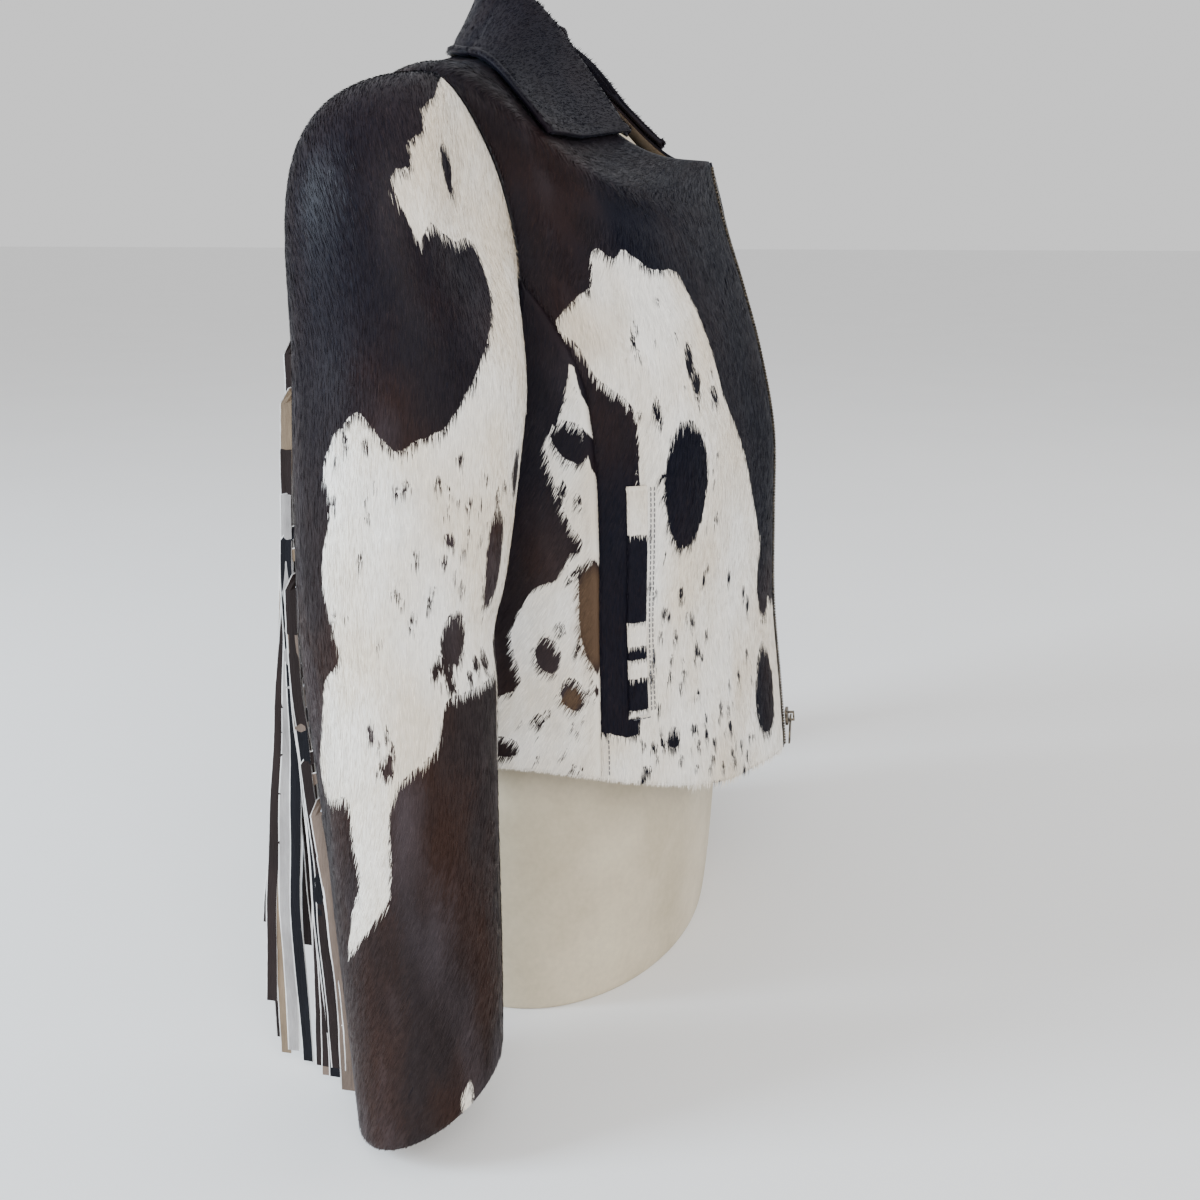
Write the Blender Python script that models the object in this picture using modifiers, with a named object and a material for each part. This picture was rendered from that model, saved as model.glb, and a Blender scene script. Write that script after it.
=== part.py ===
"""A cropped cowhide jacket with fringed sleeves, its zip open, on a limbless dress form.

Metres, +Z up. The wearer faces -Y, so the wearer's right sleeve is at -X.
The origin is the middle of the form's flat underside.
"""

import math

import bmesh
import bpy
import numpy as np
from mathutils import Vector

# Thicknesses and gaps
HIDE = 0.0020
COLLAR_THICKNESS = 0.0028
SEAM_GAP = 0.0005
SOLE_GAP = 0.0003
SEAM_MARGIN = 0.02

# Body of the jacket: closed rings, from the hem to the neckline.
# z_front, z_side, z_back: the ring's height at centre front, side and centre back.
# half_width, front, back: how far it reaches to the side, forward and backward.
# y_side: where its widest point lies. lift: how late the ring rises towards the side.
# ridge: how far the zip's two edges stand forward of the round front.
BODY_COLUMNS = ("z_front", "z_side", "z_back", "half_width", "front", "back", "y_side", "lift", "ridge")
BODY_SECTIONS = (
    ("hem",       0.137, 0.178, 0.168, 0.181, 0.1640, 0.122, 0.000, 2.5, 0.011),
    ("high hip",  0.185, 0.210, 0.208, 0.176, 0.1590, 0.114, 0.000, 2.5, 0.010),
    ("waist",     0.248, 0.264, 0.264, 0.168, 0.1520, 0.105, 0.000, 2.5, 0.009),
    ("rib",       0.308, 0.318, 0.320, 0.163, 0.1500, 0.105, 0.002, 2.5, 0.008),
    ("bust",      0.366, 0.370, 0.378, 0.163, 0.1480, 0.111, 0.005, 2.5, 0.008),
    ("armpit",    0.418, 0.408, 0.432, 0.165, 0.1375, 0.117, 0.008, 2.5, 0.006),
    ("chest",     0.460, 0.464, 0.484, 0.172, 0.1250, 0.117, 0.011, 3.0, 0.004),
    ("yoke",      0.495, 0.526, 0.532, 0.187, 0.1130, 0.110, 0.014, 4.0, 0.003),
    ("shoulder",  0.517, 0.578, 0.572, 0.206, 0.1065, 0.096, 0.018, 6.5, 0.002),
    ("shoulder top", 0.531, 0.590, 0.592, 0.146, 0.1030, 0.067, 0.022, 8.5, 0.001),
    ("neckline",  0.541, 0.600, 0.609, 0.078, 0.1010, 0.041, 0.013, 7.0, 0.000),
)
RIDGE_WIDTH = 0.034
SHOULDER_ROW = 8.0
NECK_ROW = 10.0

# The bust's crown: how far it stands out, and where, in degrees from centre front and rows
BUST_RISE = 0.007
BUST_ANGLE, BUST_ANGLE_SPREAD = 42.0, 19.0
BUST_ROW, BUST_ROW_SPREAD = 4.1, 1.3

# Armhole: an oval in degrees round the body and rows up it
ARMHOLE_ROW, ARMHOLE_HALF_ROWS = 6.5, 1.5
ARMHOLE_FRONT_DEG, ARMHOLE_BACK_DEG = 13.5, 38.0

# Seams of the body, in degrees from centre front
PRINCESS_DEG = 64.8
PRINCESS_BEND_ROW = 4.9
SIDE_SEAM_DEG = 95.0
ZIP_HALF_WIDTH = 0.0036

# Sleeve below the arm: one row for each ring of the tube.
SLEEVE_COLUMNS = ("z", "x", "y", "half_width", "half_depth", "tilt", "pitch")
SLEEVE_SECTIONS = (
    ("cap base",  0.410, 0.2430, 0.0225, 0.0545, 0.0620, 0.028, 0.000),
    ("upper arm", 0.355, 0.2500, 0.0245, 0.0530, 0.0590, 0.018, 0.000),
    ("elbow",     0.285, 0.2590, 0.0265, 0.0505, 0.0545, 0.008, 0.000),
    ("forearm",   0.205, 0.2700, 0.0210, 0.0485, 0.0495, 0.004, 0.004),
    ("wrist",     0.113, 0.2815, 0.0125, 0.0460, 0.0450, -0.004, 0.010),
    ("cuff",      0.030, 0.2915, 0.0060, 0.0445, 0.0410, -0.011, 0.019),
)

# Where seams meet the armhole, in degrees round it and round the sleeve: 0 on top, 90 in front.
# The sleeve's front seam runs on from the princess seam. Columns are counted between them.
SLEEVE_FRONT_SEAM_DEG, SLEEVE_BACK_SEAM_DEG = 103.5, 262.0
FRONT_COLUMNS, UNDERARM_COLUMNS, UNDER_BACK_COLUMNS, TOP_BACK_COLUMNS = 8, 6, 6, 8
CAP_ROWS = 5
TUBE_ROWS = 9
CAP_FULLNESS = 1.05
CAP_TOP_FULLNESS, CAP_BACK_FULLNESS = 0.35, 0.65
CAP_BACK_DEG = 320.0

# Largest folds: degrees round and height of the middle, length up and down, width in degrees,
# lean in degrees per metre, and depth. A ridge has a negative depth.
FOLD_COLUMNS = ("deg", "z", "length", "width_deg", "lean", "depth")
SLEEVE_FOLDS = (
    ("back of the cap",  -52.0, 0.505, 0.070, 15.0, 260.0, 0.0030),
    ("elbow crook",       78.0, 0.292, 0.022, 34.0, -900.0, 0.0045),
    ("forearm trough",    58.0, 0.205, 0.050, 17.0, -420.0, 0.0035),
    ("outer forearm",     10.0, 0.125, 0.045, 16.0, 380.0, 0.0030),
    ("back of forearm",  -48.0, 0.215, 0.055, 14.0, 240.0, 0.0028),
    ("wrist roll",        30.0, 0.060, 0.016, 46.0, 700.0, 0.0022),
    ("inner elbow",      150.0, 0.300, 0.020, 36.0, 600.0, 0.0040),
    ("inner forearm",    205.0, 0.190, 0.050, 16.0, 260.0, 0.0030),
)
BODY_FOLDS = (
    ("front armhole drag", 62.0, 0.500, 0.042, 4.2, 120.0, 0.0035),
    ("towards the bust",   55.0, 0.448, 0.026, 6.0, 420.0, 0.0028),
    ("below the bust",     30.0, 0.255, 0.060, 9.0, -60.0, 0.0030),
    ("front hem wave",     18.0, 0.175, 0.040, 6.0, 30.0, 0.0025),
    ("side hem wave",      80.0, 0.200, 0.050, 8.0, 40.0, 0.0028),
    ("back waist left",   150.0, 0.285, 0.045, 9.0, 120.0, 0.0030),
    ("back hem wave",     172.0, 0.205, 0.050, 8.0, -80.0, 0.0026),
)

# Collar
COLLAR_END_DEG, COLLAR_POINT_DEG, COLLAR_POINT_SPAN_DEG = 52.0, 63.0, 42.0
COLLAR_STAND_END, COLLAR_STAND = 0.002, 0.0335
COLLAR_RISE_RIGHT, COLLAR_RISE_LEFT = (52.0, 82.0, 1.0), (70.0, 98.0, 1.3)
COLLAR_ROLL = 0.0058
COLLAR_LEAF_ROW_POINT, COLLAR_LEAF_ROW_FRONT, COLLAR_LEAF_ROW_BACK = 8.05, 9.28, 9.38
COLLAR_COLUMNS = 30
COLLAR_FOOT_GAP = 0.0012

# Welt pockets, in degrees from centre front and heights
POCKET_DEG, POCKET_TOP_Z, POCKET_BOTTOM_Z = 55.6, 0.350, 0.206
WELT_WIDTH, WELT_THICKNESS = 0.014, 0.0016

# Fringe: strips cut from one band that is sewn into the back seam of the sleeve.
# They hang in groups, one behind the other. In a group each strip has a layer of its own,
# and the upper strips take the outer layers, so that no two strips meet.
STRIP_WIDTH, STRIP_THICKNESS = 0.0070, 0.0016
GROUPS, GROUP_SIZE = 3, 10
FRINGE_TOP_Z, FRINGE_BOTTOM_Z = 0.440, 0.074
BAND_GAP, BAND_DEPTH, STRIP_BEND = 0.0009, 0.0030, 0.0042
LAYER_PITCH = 0.0021
GROUP_STEP = 0.0078
GROUP_REACH = ((0.034, 0.068), (0.013, 0.025), (0.000, 0.004))
STRIP_SHARE = (1.0, 0.35, 0.7, 0.1, 0.9, 0.0, 0.5, 0.8, 0.2, 0.6)
STRIP_LENGTH, STRIP_END_Z = 0.345, 0.007
SEAM_FOLLOW = 0.35

# Zip
ZIP_INNER, ZIP_OUTER, ZIP_THICKNESS = 0.0006, 0.0027, 0.0030
SLIDER_WIDTH, SLIDER_HEIGHT, SLIDER_DEPTH = 0.0090, 0.0110, 0.0020
SLIDER_X, SLIDER_Z = 0.0050, 0.1580
BRIDGE_WIDTH, BRIDGE_REACH, BRIDGE_LENGTH, BRIDGE_BAR = 0.0022, 0.0034, 0.0070, 0.0011
PULL_WIDTH, PULL_LENGTH, PULL_THICKNESS, PULL_BAR = 0.0060, 0.0210, 0.0013, 0.0012

# Dress form below and inside the jacket; the columns are those of the body's rings.
FORM_SECTIONS = (
    ("sole",      0.000, 0.000, 0.000, 0.1600, 0.0985, 0.1010, 0.000, 2.5, 0.000),
    ("sole edge", 0.006, 0.006, 0.006, 0.1660, 0.1035, 0.1060, 0.000, 2.5, 0.000),
    ("hip",       0.060, 0.060, 0.060, 0.1680, 0.1085, 0.1100, 0.000, 2.5, 0.000),
    ("belly",     0.115, 0.115, 0.115, 0.1620, 0.1100, 0.1040, 0.000, 2.5, 0.000),
    ("high hip",  0.175, 0.175, 0.175, 0.1480, 0.1020, 0.0920, 0.000, 2.5, 0.000),
    ("waist",     0.240, 0.240, 0.240, 0.1320, 0.0900, 0.0800, 0.000, 2.5, 0.000),
    ("rib",       0.303, 0.303, 0.303, 0.1420, 0.1040, 0.0880, 0.002, 2.5, 0.000),
    ("bust",      0.362, 0.364, 0.372, 0.1550, 0.1340, 0.1020, 0.005, 2.5, 0.000),
)
FORM_SHARED = ("armpit", "chest", "yoke", "shoulder", "shoulder top")
FORM_EASE, FORM_SHOULDER_EASE = 0.0078, 0.0019
FORM_NECK = (
    ("neck root", 0.527, 0.592, 0.599, 0.0760, 0.0880, 0.0450, 0.012, 8.0, 0.000),
    ("neck",      0.545, 0.598, 0.604, 0.0590, 0.0580, 0.0340, 0.006, 5.0, 0.000),
    ("neck top",  0.575, 0.600, 0.606, 0.0400, 0.0300, 0.0260, 0.003, 3.0, 0.000),
)
FORM_COLUMNS = 28
FORM_STEPS = 2

BLACK_HAIR = (0.018, 0.016, 0.022, 1.0)
BROWN_HAIR = (0.045, 0.028, 0.022, 1.0)
WHITE_HAIR = (0.80, 0.77, 0.70, 1.0)
FORM_CREAM = (0.60, 0.52, 0.38, 1.0)
DARK_METAL = (0.16, 0.14, 0.12, 1.0)


def material(name, colour, roughness, metallic=0.0):
    """A Principled material in one colour."""
    made = bpy.data.materials.new(name)
    made.use_nodes = True
    shader = made.node_tree.nodes["Principled BSDF"]
    shader.inputs["Base Color"].default_value = colour
    shader.inputs["Roughness"].default_value = roughness
    shader.inputs["Metallic"].default_value = metallic
    made.diffuse_color = colour
    return made


def smooth(t):
    """0 below 0, 1 above 1, and an even rise between."""
    t = min(1.0, max(0.0, t))
    return t * t * (3.0 - 2.0 * t)


def unit(vector):
    """The vector at length 1."""
    return vector / np.linalg.norm(vector)


def section(rows, at):
    """The numbers of a table of sections at a row between its rows, on a smooth curve."""
    values = np.array([row[1:] for row in rows], float)
    last = len(values) - 1
    at = min(max(at, 0.0), float(last))
    low = min(int(at), last - 1)
    t = at - low
    start, end = values[low], values[low + 1]
    before = values[low - 1] if low > 0 else 2 * start - end
    after = values[low + 2] if low + 2 <= last else 2 * end - start
    rise, fall = (end - before) / 2, (after - start) / 2
    return (
        (2 * t**3 - 3 * t**2 + 1) * start
        + (t**3 - 2 * t**2 + t) * rise
        + (3 * t**2 - 2 * t**3) * end
        + (t**3 - t**2) * fall
    )


def fold_depth(folds, deg, z):
    """How deep the folds press in at this angle and height."""
    depth = 0.0
    for _, middle, fold_z, length, width, lean, most in folds:
        along = (z - fold_z) / length
        across = ((deg - middle - lean * (z - fold_z) + 180.0) % 360.0 - 180.0) / width
        depth += most * math.exp(-along * along - across * across)
    return depth


def ring_point(values, deg):
    """The point of a ring at an angle from centre front, towards the wearer's right."""
    z_front, z_side, z_back, half_width, front, back, y_side, lift, ridge = values
    angle = math.radians(deg)
    sine, cosine = math.sin(angle), math.cos(angle)
    share = abs(sine) ** lift
    x = -half_width * sine
    if cosine >= 0:
        y = y_side - (front - ridge + y_side) * cosine - ridge * math.exp(-((x / RIDGE_WIDTH) ** 2))
        z = z_front + (z_side - z_front) * share
    else:
        y = y_side - (back - y_side) * cosine
        z = z_back + (z_side - z_back) * share
    return np.array([x, y, z])


def plain_body(deg, row):
    """The jacket's outer surface without its folds."""
    point = ring_point(section(BODY_SECTIONS, row), deg)
    across = (min(deg % 360.0, 360.0 - deg % 360.0) - BUST_ANGLE) / BUST_ANGLE_SPREAD
    rise = BUST_RISE * math.exp(-(across**2) - ((row - BUST_ROW) / BUST_ROW_SPREAD) ** 2)
    outward = unit(np.array([point[0], point[1], 0.0]))
    return point + outward * rise


def normal_of(surface, u, v, u_step, v_step):
    """The outward normal of a surface whose u runs to the wearer's right and whose v runs up."""
    along = surface(u + u_step, v) - surface(u - u_step, v)
    up = surface(u, v + v_step) - surface(u, v - v_step)
    return unit(np.cross(up, along))


def body_normal(deg, row):
    """The outward normal of the jacket's body."""
    row = min(max(row, 0.05), NECK_ROW - 0.05)
    return normal_of(plain_body, deg, row, 0.5, 0.05)


def body(deg, row):
    """The jacket's outer surface, with its folds."""
    point = plain_body(deg, row)
    depth = fold_depth(BODY_FOLDS, deg if deg <= 180.0 else 360.0 - deg, point[2])
    depth *= smooth((SHOULDER_ROW - row) / 1.5)
    return point - body_normal(deg, row) * depth


def armhole(deg):
    """Degrees round the body and row at an angle round the armhole: 0 on top, 90 in front."""
    angle = math.radians(deg)
    reach = ARMHOLE_FRONT_DEG if math.sin(angle) >= 0 else ARMHOLE_BACK_DEG
    return 90.0 - reach * math.sin(angle), ARMHOLE_ROW + ARMHOLE_HALF_ROWS * math.cos(angle)


def armhole_reach(row):
    """The sine of the armhole's angle at a row."""
    share = (row - ARMHOLE_ROW) / ARMHOLE_HALF_ROWS
    return math.sqrt(max(0.0, 1.0 - share * share))


def spread(first, last, count):
    """Evenly spaced numbers from first to last, with both ends."""
    return [first + (last - first) * k / count for k in range(count + 1)]


def side_seam_angle():
    """The angle round the armhole where the side seam meets it."""
    return 180.0 + math.degrees(math.asin((SIDE_SEAM_DEG - 90.0) / ARMHOLE_BACK_DEG))


def front_angles():
    """The sleeve's columns along the front panel, from the top of the armhole down."""
    return spread(0.0, SLEEVE_FRONT_SEAM_DEG, FRONT_COLUMNS)


def underarm_angles():
    """The sleeve's columns along the side panel."""
    return spread(SLEEVE_FRONT_SEAM_DEG, side_seam_angle(), UNDERARM_COLUMNS)


def under_back_angles():
    """The under sleeve's columns along the back panel."""
    return spread(side_seam_angle(), SLEEVE_BACK_SEAM_DEG, UNDER_BACK_COLUMNS)


def top_back_angles():
    """The top sleeve's columns along the back panel."""
    return spread(SLEEVE_BACK_SEAM_DEG, 360.0, TOP_BACK_COLUMNS)


def with_margins(places, first=True, last=True):
    """The places of columns, with one more column close to each seam."""
    places = list(places)
    if first:
        places.insert(1, places[0] + (places[1] - places[0]) * SEAM_MARGIN * 10)
    if last:
        places.insert(-1, places[-1] - (places[-1] - places[-2]) * SEAM_MARGIN * 10)
    return places


def princess(row):
    """Degrees of the princess seam at a row."""
    top_deg, top_row = armhole(SLEEVE_FRONT_SEAM_DEG)
    share = (row - PRINCESS_BEND_ROW) / (top_row - PRINCESS_BEND_ROW)
    return PRINCESS_DEG + (top_deg - PRINCESS_DEG) * max(0.0, share) ** 1.8


def front_edge(row):
    """Degrees of the front's outer edge: the princess seam, the armhole, the shoulder seam."""
    if row >= SHOULDER_ROW:
        return 90.0
    if row <= armhole(SLEEVE_FRONT_SEAM_DEG)[1]:
        return princess(row)
    return 90.0 - ARMHOLE_FRONT_DEG * armhole_reach(row)


def back_edge(row):
    """Degrees of the back's outer edge: the side seam, the armhole, the shoulder seam."""
    if row >= SHOULDER_ROW:
        return 90.0
    if row <= armhole(side_seam_angle())[1]:
        return SIDE_SEAM_DEG
    return 90.0 + ARMHOLE_BACK_DEG * armhole_reach(row)


def inset(grid, edges):
    """Moves a grid's edges in by half a seam gap. Edges are bottom, top, first and last."""
    grid = grid.copy()
    pairs = {
        "bottom": (grid[0], grid[1]),
        "top": (grid[-1], grid[-2]),
        "first": (grid[:, 0], grid[:, 1]),
        "last": (grid[:, -1], grid[:, -2]),
    }
    for edge in edges:
        line, inner = pairs[edge]
        for k in range(len(line)):
            line[k] += unit(inner[k] - line[k]) * SEAM_GAP / 2
    return grid


def mirrored(grid):
    """The grid for the wearer's left, with its columns turned so that it still faces out."""
    return (grid * np.array([-1.0, 1.0, 1.0]))[:, ::-1]


def wall(name, grid, thickness, finish):
    """A sheet of hide on a grid of outer points, thickened inwards."""
    rows, columns = grid.shape[:2]
    faces = []
    for i in range(rows - 1):
        for j in range(columns - 1):
            a = i * columns + j
            faces.append((a, a + columns, a + columns + 1, a + 1))
    mesh = bpy.data.meshes.new(name)
    mesh.from_pydata([tuple(p) for p in grid.reshape(-1, 3)], [], faces)
    mesh.shade_smooth()
    made = link(name, mesh, finish)
    solid = made.modifiers.new("Thickness", "SOLIDIFY")
    solid.thickness = thickness
    solid.offset = -1.0
    solid.use_even_offset = True
    return made


def link(name, mesh, finish):
    """An object for a mesh, in the jacket's collection."""
    mesh.materials.append(finish)
    made = bpy.data.objects.new(name, mesh)
    COLLECTION.objects.link(made)
    return made


def front_panel():
    """The right front, from the zip to the princess seam, armhole and shoulder seam."""
    rows = [0, 0.6, 1.2, 2, 2.7, 3.4, 4, 4.5, 5, 5.5]
    rows += [armhole(angle)[1] for angle in reversed(front_angles())]
    rows += [8.6, 9.3, 10]
    columns = 10
    places = with_margins(spread(0.0, 1.0, columns), first=False)
    grid = np.zeros((len(rows), len(places), 3))
    for i, row in enumerate(rows):
        half_width = section(BODY_SECTIONS, row)[3]
        start = math.degrees(math.asin(ZIP_HALF_WIDTH / half_width))
        end = front_edge(row)
        crowd = 1.0 + 0.5 * smooth((row - 7.0) / 1.0)
        for j, place in enumerate(places):
            grid[i, j] = body(start + (end - start) * (1.0 - (1.0 - place) ** crowd), row)
    return inset(grid, ("last",))


def side_panel():
    """The right side panel, from the princess seam to the side seam, under the armhole."""
    rows = 10
    angles = with_margins(underarm_angles())
    places = with_margins(spread(0.0, 1.0, UNDERARM_COLUMNS))
    grid = np.zeros((rows + 1, len(places), 3))
    for j, place in enumerate(places):
        top_deg, top_row = armhole(angles[j])
        top_left = princess(top_row)
        top_place = (top_deg - top_left) / (SIDE_SEAM_DEG - top_left)
        for i in range(rows + 1):
            row = top_row * i / rows
            left = princess(row)
            across = place + (top_place - place) * smooth(i / rows)
            grid[i, j] = body(left + (SIDE_SEAM_DEG - left) * across, row)
    return inset(grid, ("top", "first", "last"))


def back_panel():
    """The whole back, between the side seams, armholes, shoulder seams and neckline."""
    rows = [0, 0.7, 1.4, 2.1, 2.8, 3.5, 4.2]
    rows += [armhole(angle)[1] for angle in under_back_angles()]
    rows += [armhole(angle)[1] for angle in top_back_angles()[1:]]
    rows += [8.6, 9.3, 10]
    columns = 14
    places = with_margins(spread(0.0, 1.0, columns))
    grid = np.zeros((len(rows), len(places), 3))
    for i, row in enumerate(rows):
        start = back_edge(row)
        for j, place in enumerate(places):
            grid[i, j] = body(start + (360.0 - 2 * start) * place, row)
    return inset(grid, ("first", "last"))


def tube_point(deg, row):
    """The right sleeve's tube at an angle: 0 outward, 90 in front. Row 0 is the cap's base."""
    z, x, y, half_width, half_depth, tilt, pitch = section(SLEEVE_SECTIONS, row)
    angle = math.radians(deg)
    return np.array([
        -x - half_width * math.cos(angle),
        y - half_depth * math.sin(angle),
        z + tilt * math.cos(angle) + pitch * math.sin(angle),
    ])


def cap_point(deg, share):
    """The sleeve's cap, from the armhole at share 0 to the tube at share 1."""
    around, row = armhole(deg)
    edge = plain_body(around, row)
    normal = normal_of(plain_body, around, row, 9.0, 0.45)
    centre = plain_body(90.0, ARMHOLE_ROW)
    into = centre - edge
    into = unit(into - normal * (into @ normal))
    start = edge + into * SOLE_GAP
    end = tube_point(deg, 0.0)
    reach = np.linalg.norm(end - start)
    top = max(0.0, math.cos(math.radians(deg)))
    behind = max(0.0, math.cos(math.radians(deg - CAP_BACK_DEG))) ** 3
    fullness = CAP_FULLNESS + CAP_TOP_FULLNESS * top + CAP_BACK_FULLNESS * behind
    plain = unit(normal + into * (0.15 + 0.85 * top))
    bulge = unit(normal * 0.45 + np.array([-0.60, 0.14, 0.0]))
    leave = unit(plain * (1.0 - behind) + bulge * behind) * reach * fullness
    arrive = unit(tube_point(deg, 0.4) - end) * reach * 0.95
    s = share
    return (
        (2 * s**3 - 3 * s**2 + 1) * start
        + (s**3 - 2 * s**2 + s) * leave
        + (3 * s**2 - 2 * s**3) * end
        + (s**3 - s**2) * arrive
    )


def plain_sleeve(deg, along):
    """The sleeve's outer surface without folds: along runs 0 to 1 over the cap, then 1 to 2."""
    if along <= 1.0:
        return cap_point(deg, max(0.0, along))
    return tube_point(deg, (min(along, 2.0) - 1.0) * (len(SLEEVE_SECTIONS) - 1))


def sleeve_normal(deg, along):
    """The outward normal of the sleeve."""
    along = min(max(along, 0.02), 1.98)
    return normal_of(lambda u, v: plain_sleeve(-u, 2.0 - v), -deg, 2.0 - along, 1.0, 0.02)


def sleeve(deg, along):
    """The sleeve's outer surface, with its folds."""
    point = plain_sleeve(deg, along)
    depth = fold_depth(SLEEVE_FOLDS, deg, point[2]) * smooth(along / 0.5)
    return point - sleeve_normal(deg, along) * depth


def sleeve_panel(angles):
    """A part of the right sleeve between two seams, from the cuff up to the armhole."""
    steps = [2.0 - i / TUBE_ROWS for i in range(TUBE_ROWS)]
    steps += [1.0 - i / CAP_ROWS for i in range(CAP_ROWS + 1)]
    places = with_margins(angles)[::-1]
    grid = np.zeros((len(steps), len(places), 3))
    for i, along in enumerate(steps):
        for j, deg in enumerate(places):
            grid[i, j] = sleeve(deg, along)
    return inset(grid, ("first", "last"))


def collar_grid():
    """The collar: a stand up from the neckline, a roll, and a leaf down to its edge."""
    stand_rows, leaf_rows = 3, 5
    grid = np.zeros((stand_rows + 1 + leaf_rows, COLLAR_COLUMNS + 1, 3))
    up = np.array([0.0, 0.0, 1.0])
    for j in range(COLLAR_COLUMNS + 1):
        deg = COLLAR_END_DEG + (360.0 - 2 * COLLAR_END_DEG) * j / COLLAR_COLUMNS
        side = 1.0 if deg <= 180.0 else -1.0
        from_end = min(deg, 360.0 - deg) - COLLAR_END_DEG
        start, end, power = COLLAR_RISE_RIGHT if deg <= 180.0 else COLLAR_RISE_LEFT
        rise = min(1.0, max(0.0, from_end + COLLAR_END_DEG - start) / (end - start)) ** power
        stand = COLLAR_STAND_END + (COLLAR_STAND - COLLAR_STAND_END) * rise
        spread = max(0.0, 1.0 - from_end / COLLAR_POINT_SPAN_DEG)
        leaf_deg = deg + side * (COLLAR_POINT_DEG - COLLAR_END_DEG) * spread**1.3
        back = max(0.0, -math.cos(math.radians(deg))) ** 1.5
        leaf_row = COLLAR_LEAF_ROW_FRONT + (COLLAR_LEAF_ROW_BACK - COLLAR_LEAF_ROW_FRONT) * back
        leaf_row += (COLLAR_LEAF_ROW_POINT - COLLAR_LEAF_ROW_FRONT) * spread**1.4
        foot = plain_body(deg, NECK_ROW) + up * COLLAR_FOOT_GAP
        outward = unit(foot * np.array([1.0, 1.0, 0.0]))
        lean = stand * 0.10
        roll = COLLAR_ROLL * rise
        for i in range(stand_rows):
            share = i / (stand_rows - 1)
            grid[i, j] = foot + (up * (stand - roll * 0.6) - outward * lean) * share
        grid[stand_rows, j] = foot + up * stand + outward * (roll * 0.5 - lean)
        for i in range(leaf_rows):
            share = i / (leaf_rows - 1)
            at_deg = deg + (leaf_deg - deg) * share**0.75
            at_row = NECK_ROW + (leaf_row - NECK_ROW) * share
            clear = COLLAR_THICKNESS + 0.0012 + 0.0016 * spread * share
            rest = plain_body(at_deg, at_row) + body_normal(at_deg, at_row) * clear
            lift = (stand - roll * 0.5) * (1.0 - share) ** 1.2
            grid[stand_rows + 1 + i, j] = rest + up * lift + outward * (roll * 1.15 - lean) * (1.0 - share)
    return grid[::-1]


def row_at(deg, z):
    """The row of the body at a height, at an angle from centre front."""
    low, high = 0.0, SHOULDER_ROW
    for _ in range(30):
        middle = (low + high) / 2
        if plain_body(deg, middle)[2] < z:
            low = middle
        else:
            high = middle
    return (low + high) / 2


def welt_grid():
    """The right pocket's welt: a strip that lies on the front panel."""
    steps = 8
    grid = np.zeros((steps + 1, 3, 3))
    half_deg = math.degrees(WELT_WIDTH / 2 / section(BODY_SECTIONS, 3.0)[3])
    for i in range(steps + 1):
        z = POCKET_BOTTOM_Z + (POCKET_TOP_Z - POCKET_BOTTOM_Z) * i / steps
        for j in range(3):
            deg = POCKET_DEG + half_deg * (j - 1)
            row = row_at(deg, z)
            grid[i, j] = body(deg, row) + body_normal(deg, row) * (WELT_THICKNESS + SOLE_GAP)
    return grid


def prism(name, rings, finish):
    """A closed bar through rings of the same number of points."""
    mesh = bpy.data.meshes.new(name)
    build = bmesh.new()
    vertices = [[build.verts.new(tuple(p)) for p in ring] for ring in rings]
    sides = len(rings[0])
    for low, high in zip(vertices, vertices[1:]):
        for k in range(sides):
            n = (k + 1) % sides
            build.faces.new((low[k], low[n], high[n], high[k]))
    build.faces.new(vertices[0][::-1])
    build.faces.new(vertices[-1])
    bmesh.ops.recalc_face_normals(build, faces=build.faces)
    build.to_mesh(mesh)
    build.free()
    return link(name, mesh, finish)


def zip_row(name, side):
    """One side of the open zip: a bar of teeth down the edge of a front."""
    rings = []
    steps = 16
    for i in range(steps + 1):
        row = (NECK_ROW - 0.25) * i / steps
        middle = body(0.0, row)
        normal = body_normal(0.0, row)
        outer, inner = ZIP_THICKNESS * 0.35, -ZIP_THICKNESS * 0.65
        waist = ZIP_INNER + (ZIP_OUTER - ZIP_INNER) * 0.7
        ring = []
        for x, depth in ((ZIP_INNER, inner), (ZIP_INNER, outer), (waist, outer), (ZIP_OUTER, -0.0004), (ZIP_OUTER, inner)):
            ring.append(middle + np.array([x * side, 0.0, 0.0]) + normal * depth)
        rings.append(ring)
    return prism(name, rings, METAL)


def fringe_line(z):
    """The point of the right sleeve's back seam at a height, and its outward normal."""
    low, high = 0.0, 2.0
    for _ in range(30):
        middle = (low + high) / 2
        if plain_sleeve(SLEEVE_BACK_SEAM_DEG, middle)[2] > z:
            low = middle
        else:
            high = middle
    along = (low + high) / 2
    normal = sleeve_normal(SLEEVE_BACK_SEAM_DEG, along)
    flat = unit(normal * np.array([1.0, 1.0, 0.0]))
    return sleeve(SLEEVE_BACK_SEAM_DEG, along), flat


def strip_height(index):
    """The height of a strip's root, counted from the top one down."""
    return FRINGE_TOP_Z - (FRINGE_TOP_Z - FRINGE_BOTTOM_Z) * index / (GROUPS * GROUP_SIZE - 1)


def strip_offset(index, z):
    """How far behind the band's edge a strip hangs at a height."""
    group, place = divmod(index, GROUP_SIZE)
    low, high = GROUP_REACH[group]
    reach = low + (high - low) * STRIP_SHARE[place]
    top = strip_height(group * GROUP_SIZE)
    if group == GROUPS - 1:
        return STRIP_BEND + reach * smooth((top - z) / top)
    below = strip_height((group + 1) * GROUP_SIZE)
    step = GROUP_STEP * min(1.0, max(0.0, (top - z) / (top - below)))
    return STRIP_BEND + step + (reach - GROUP_STEP) * smooth((below - z) / below) ** 0.8


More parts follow.
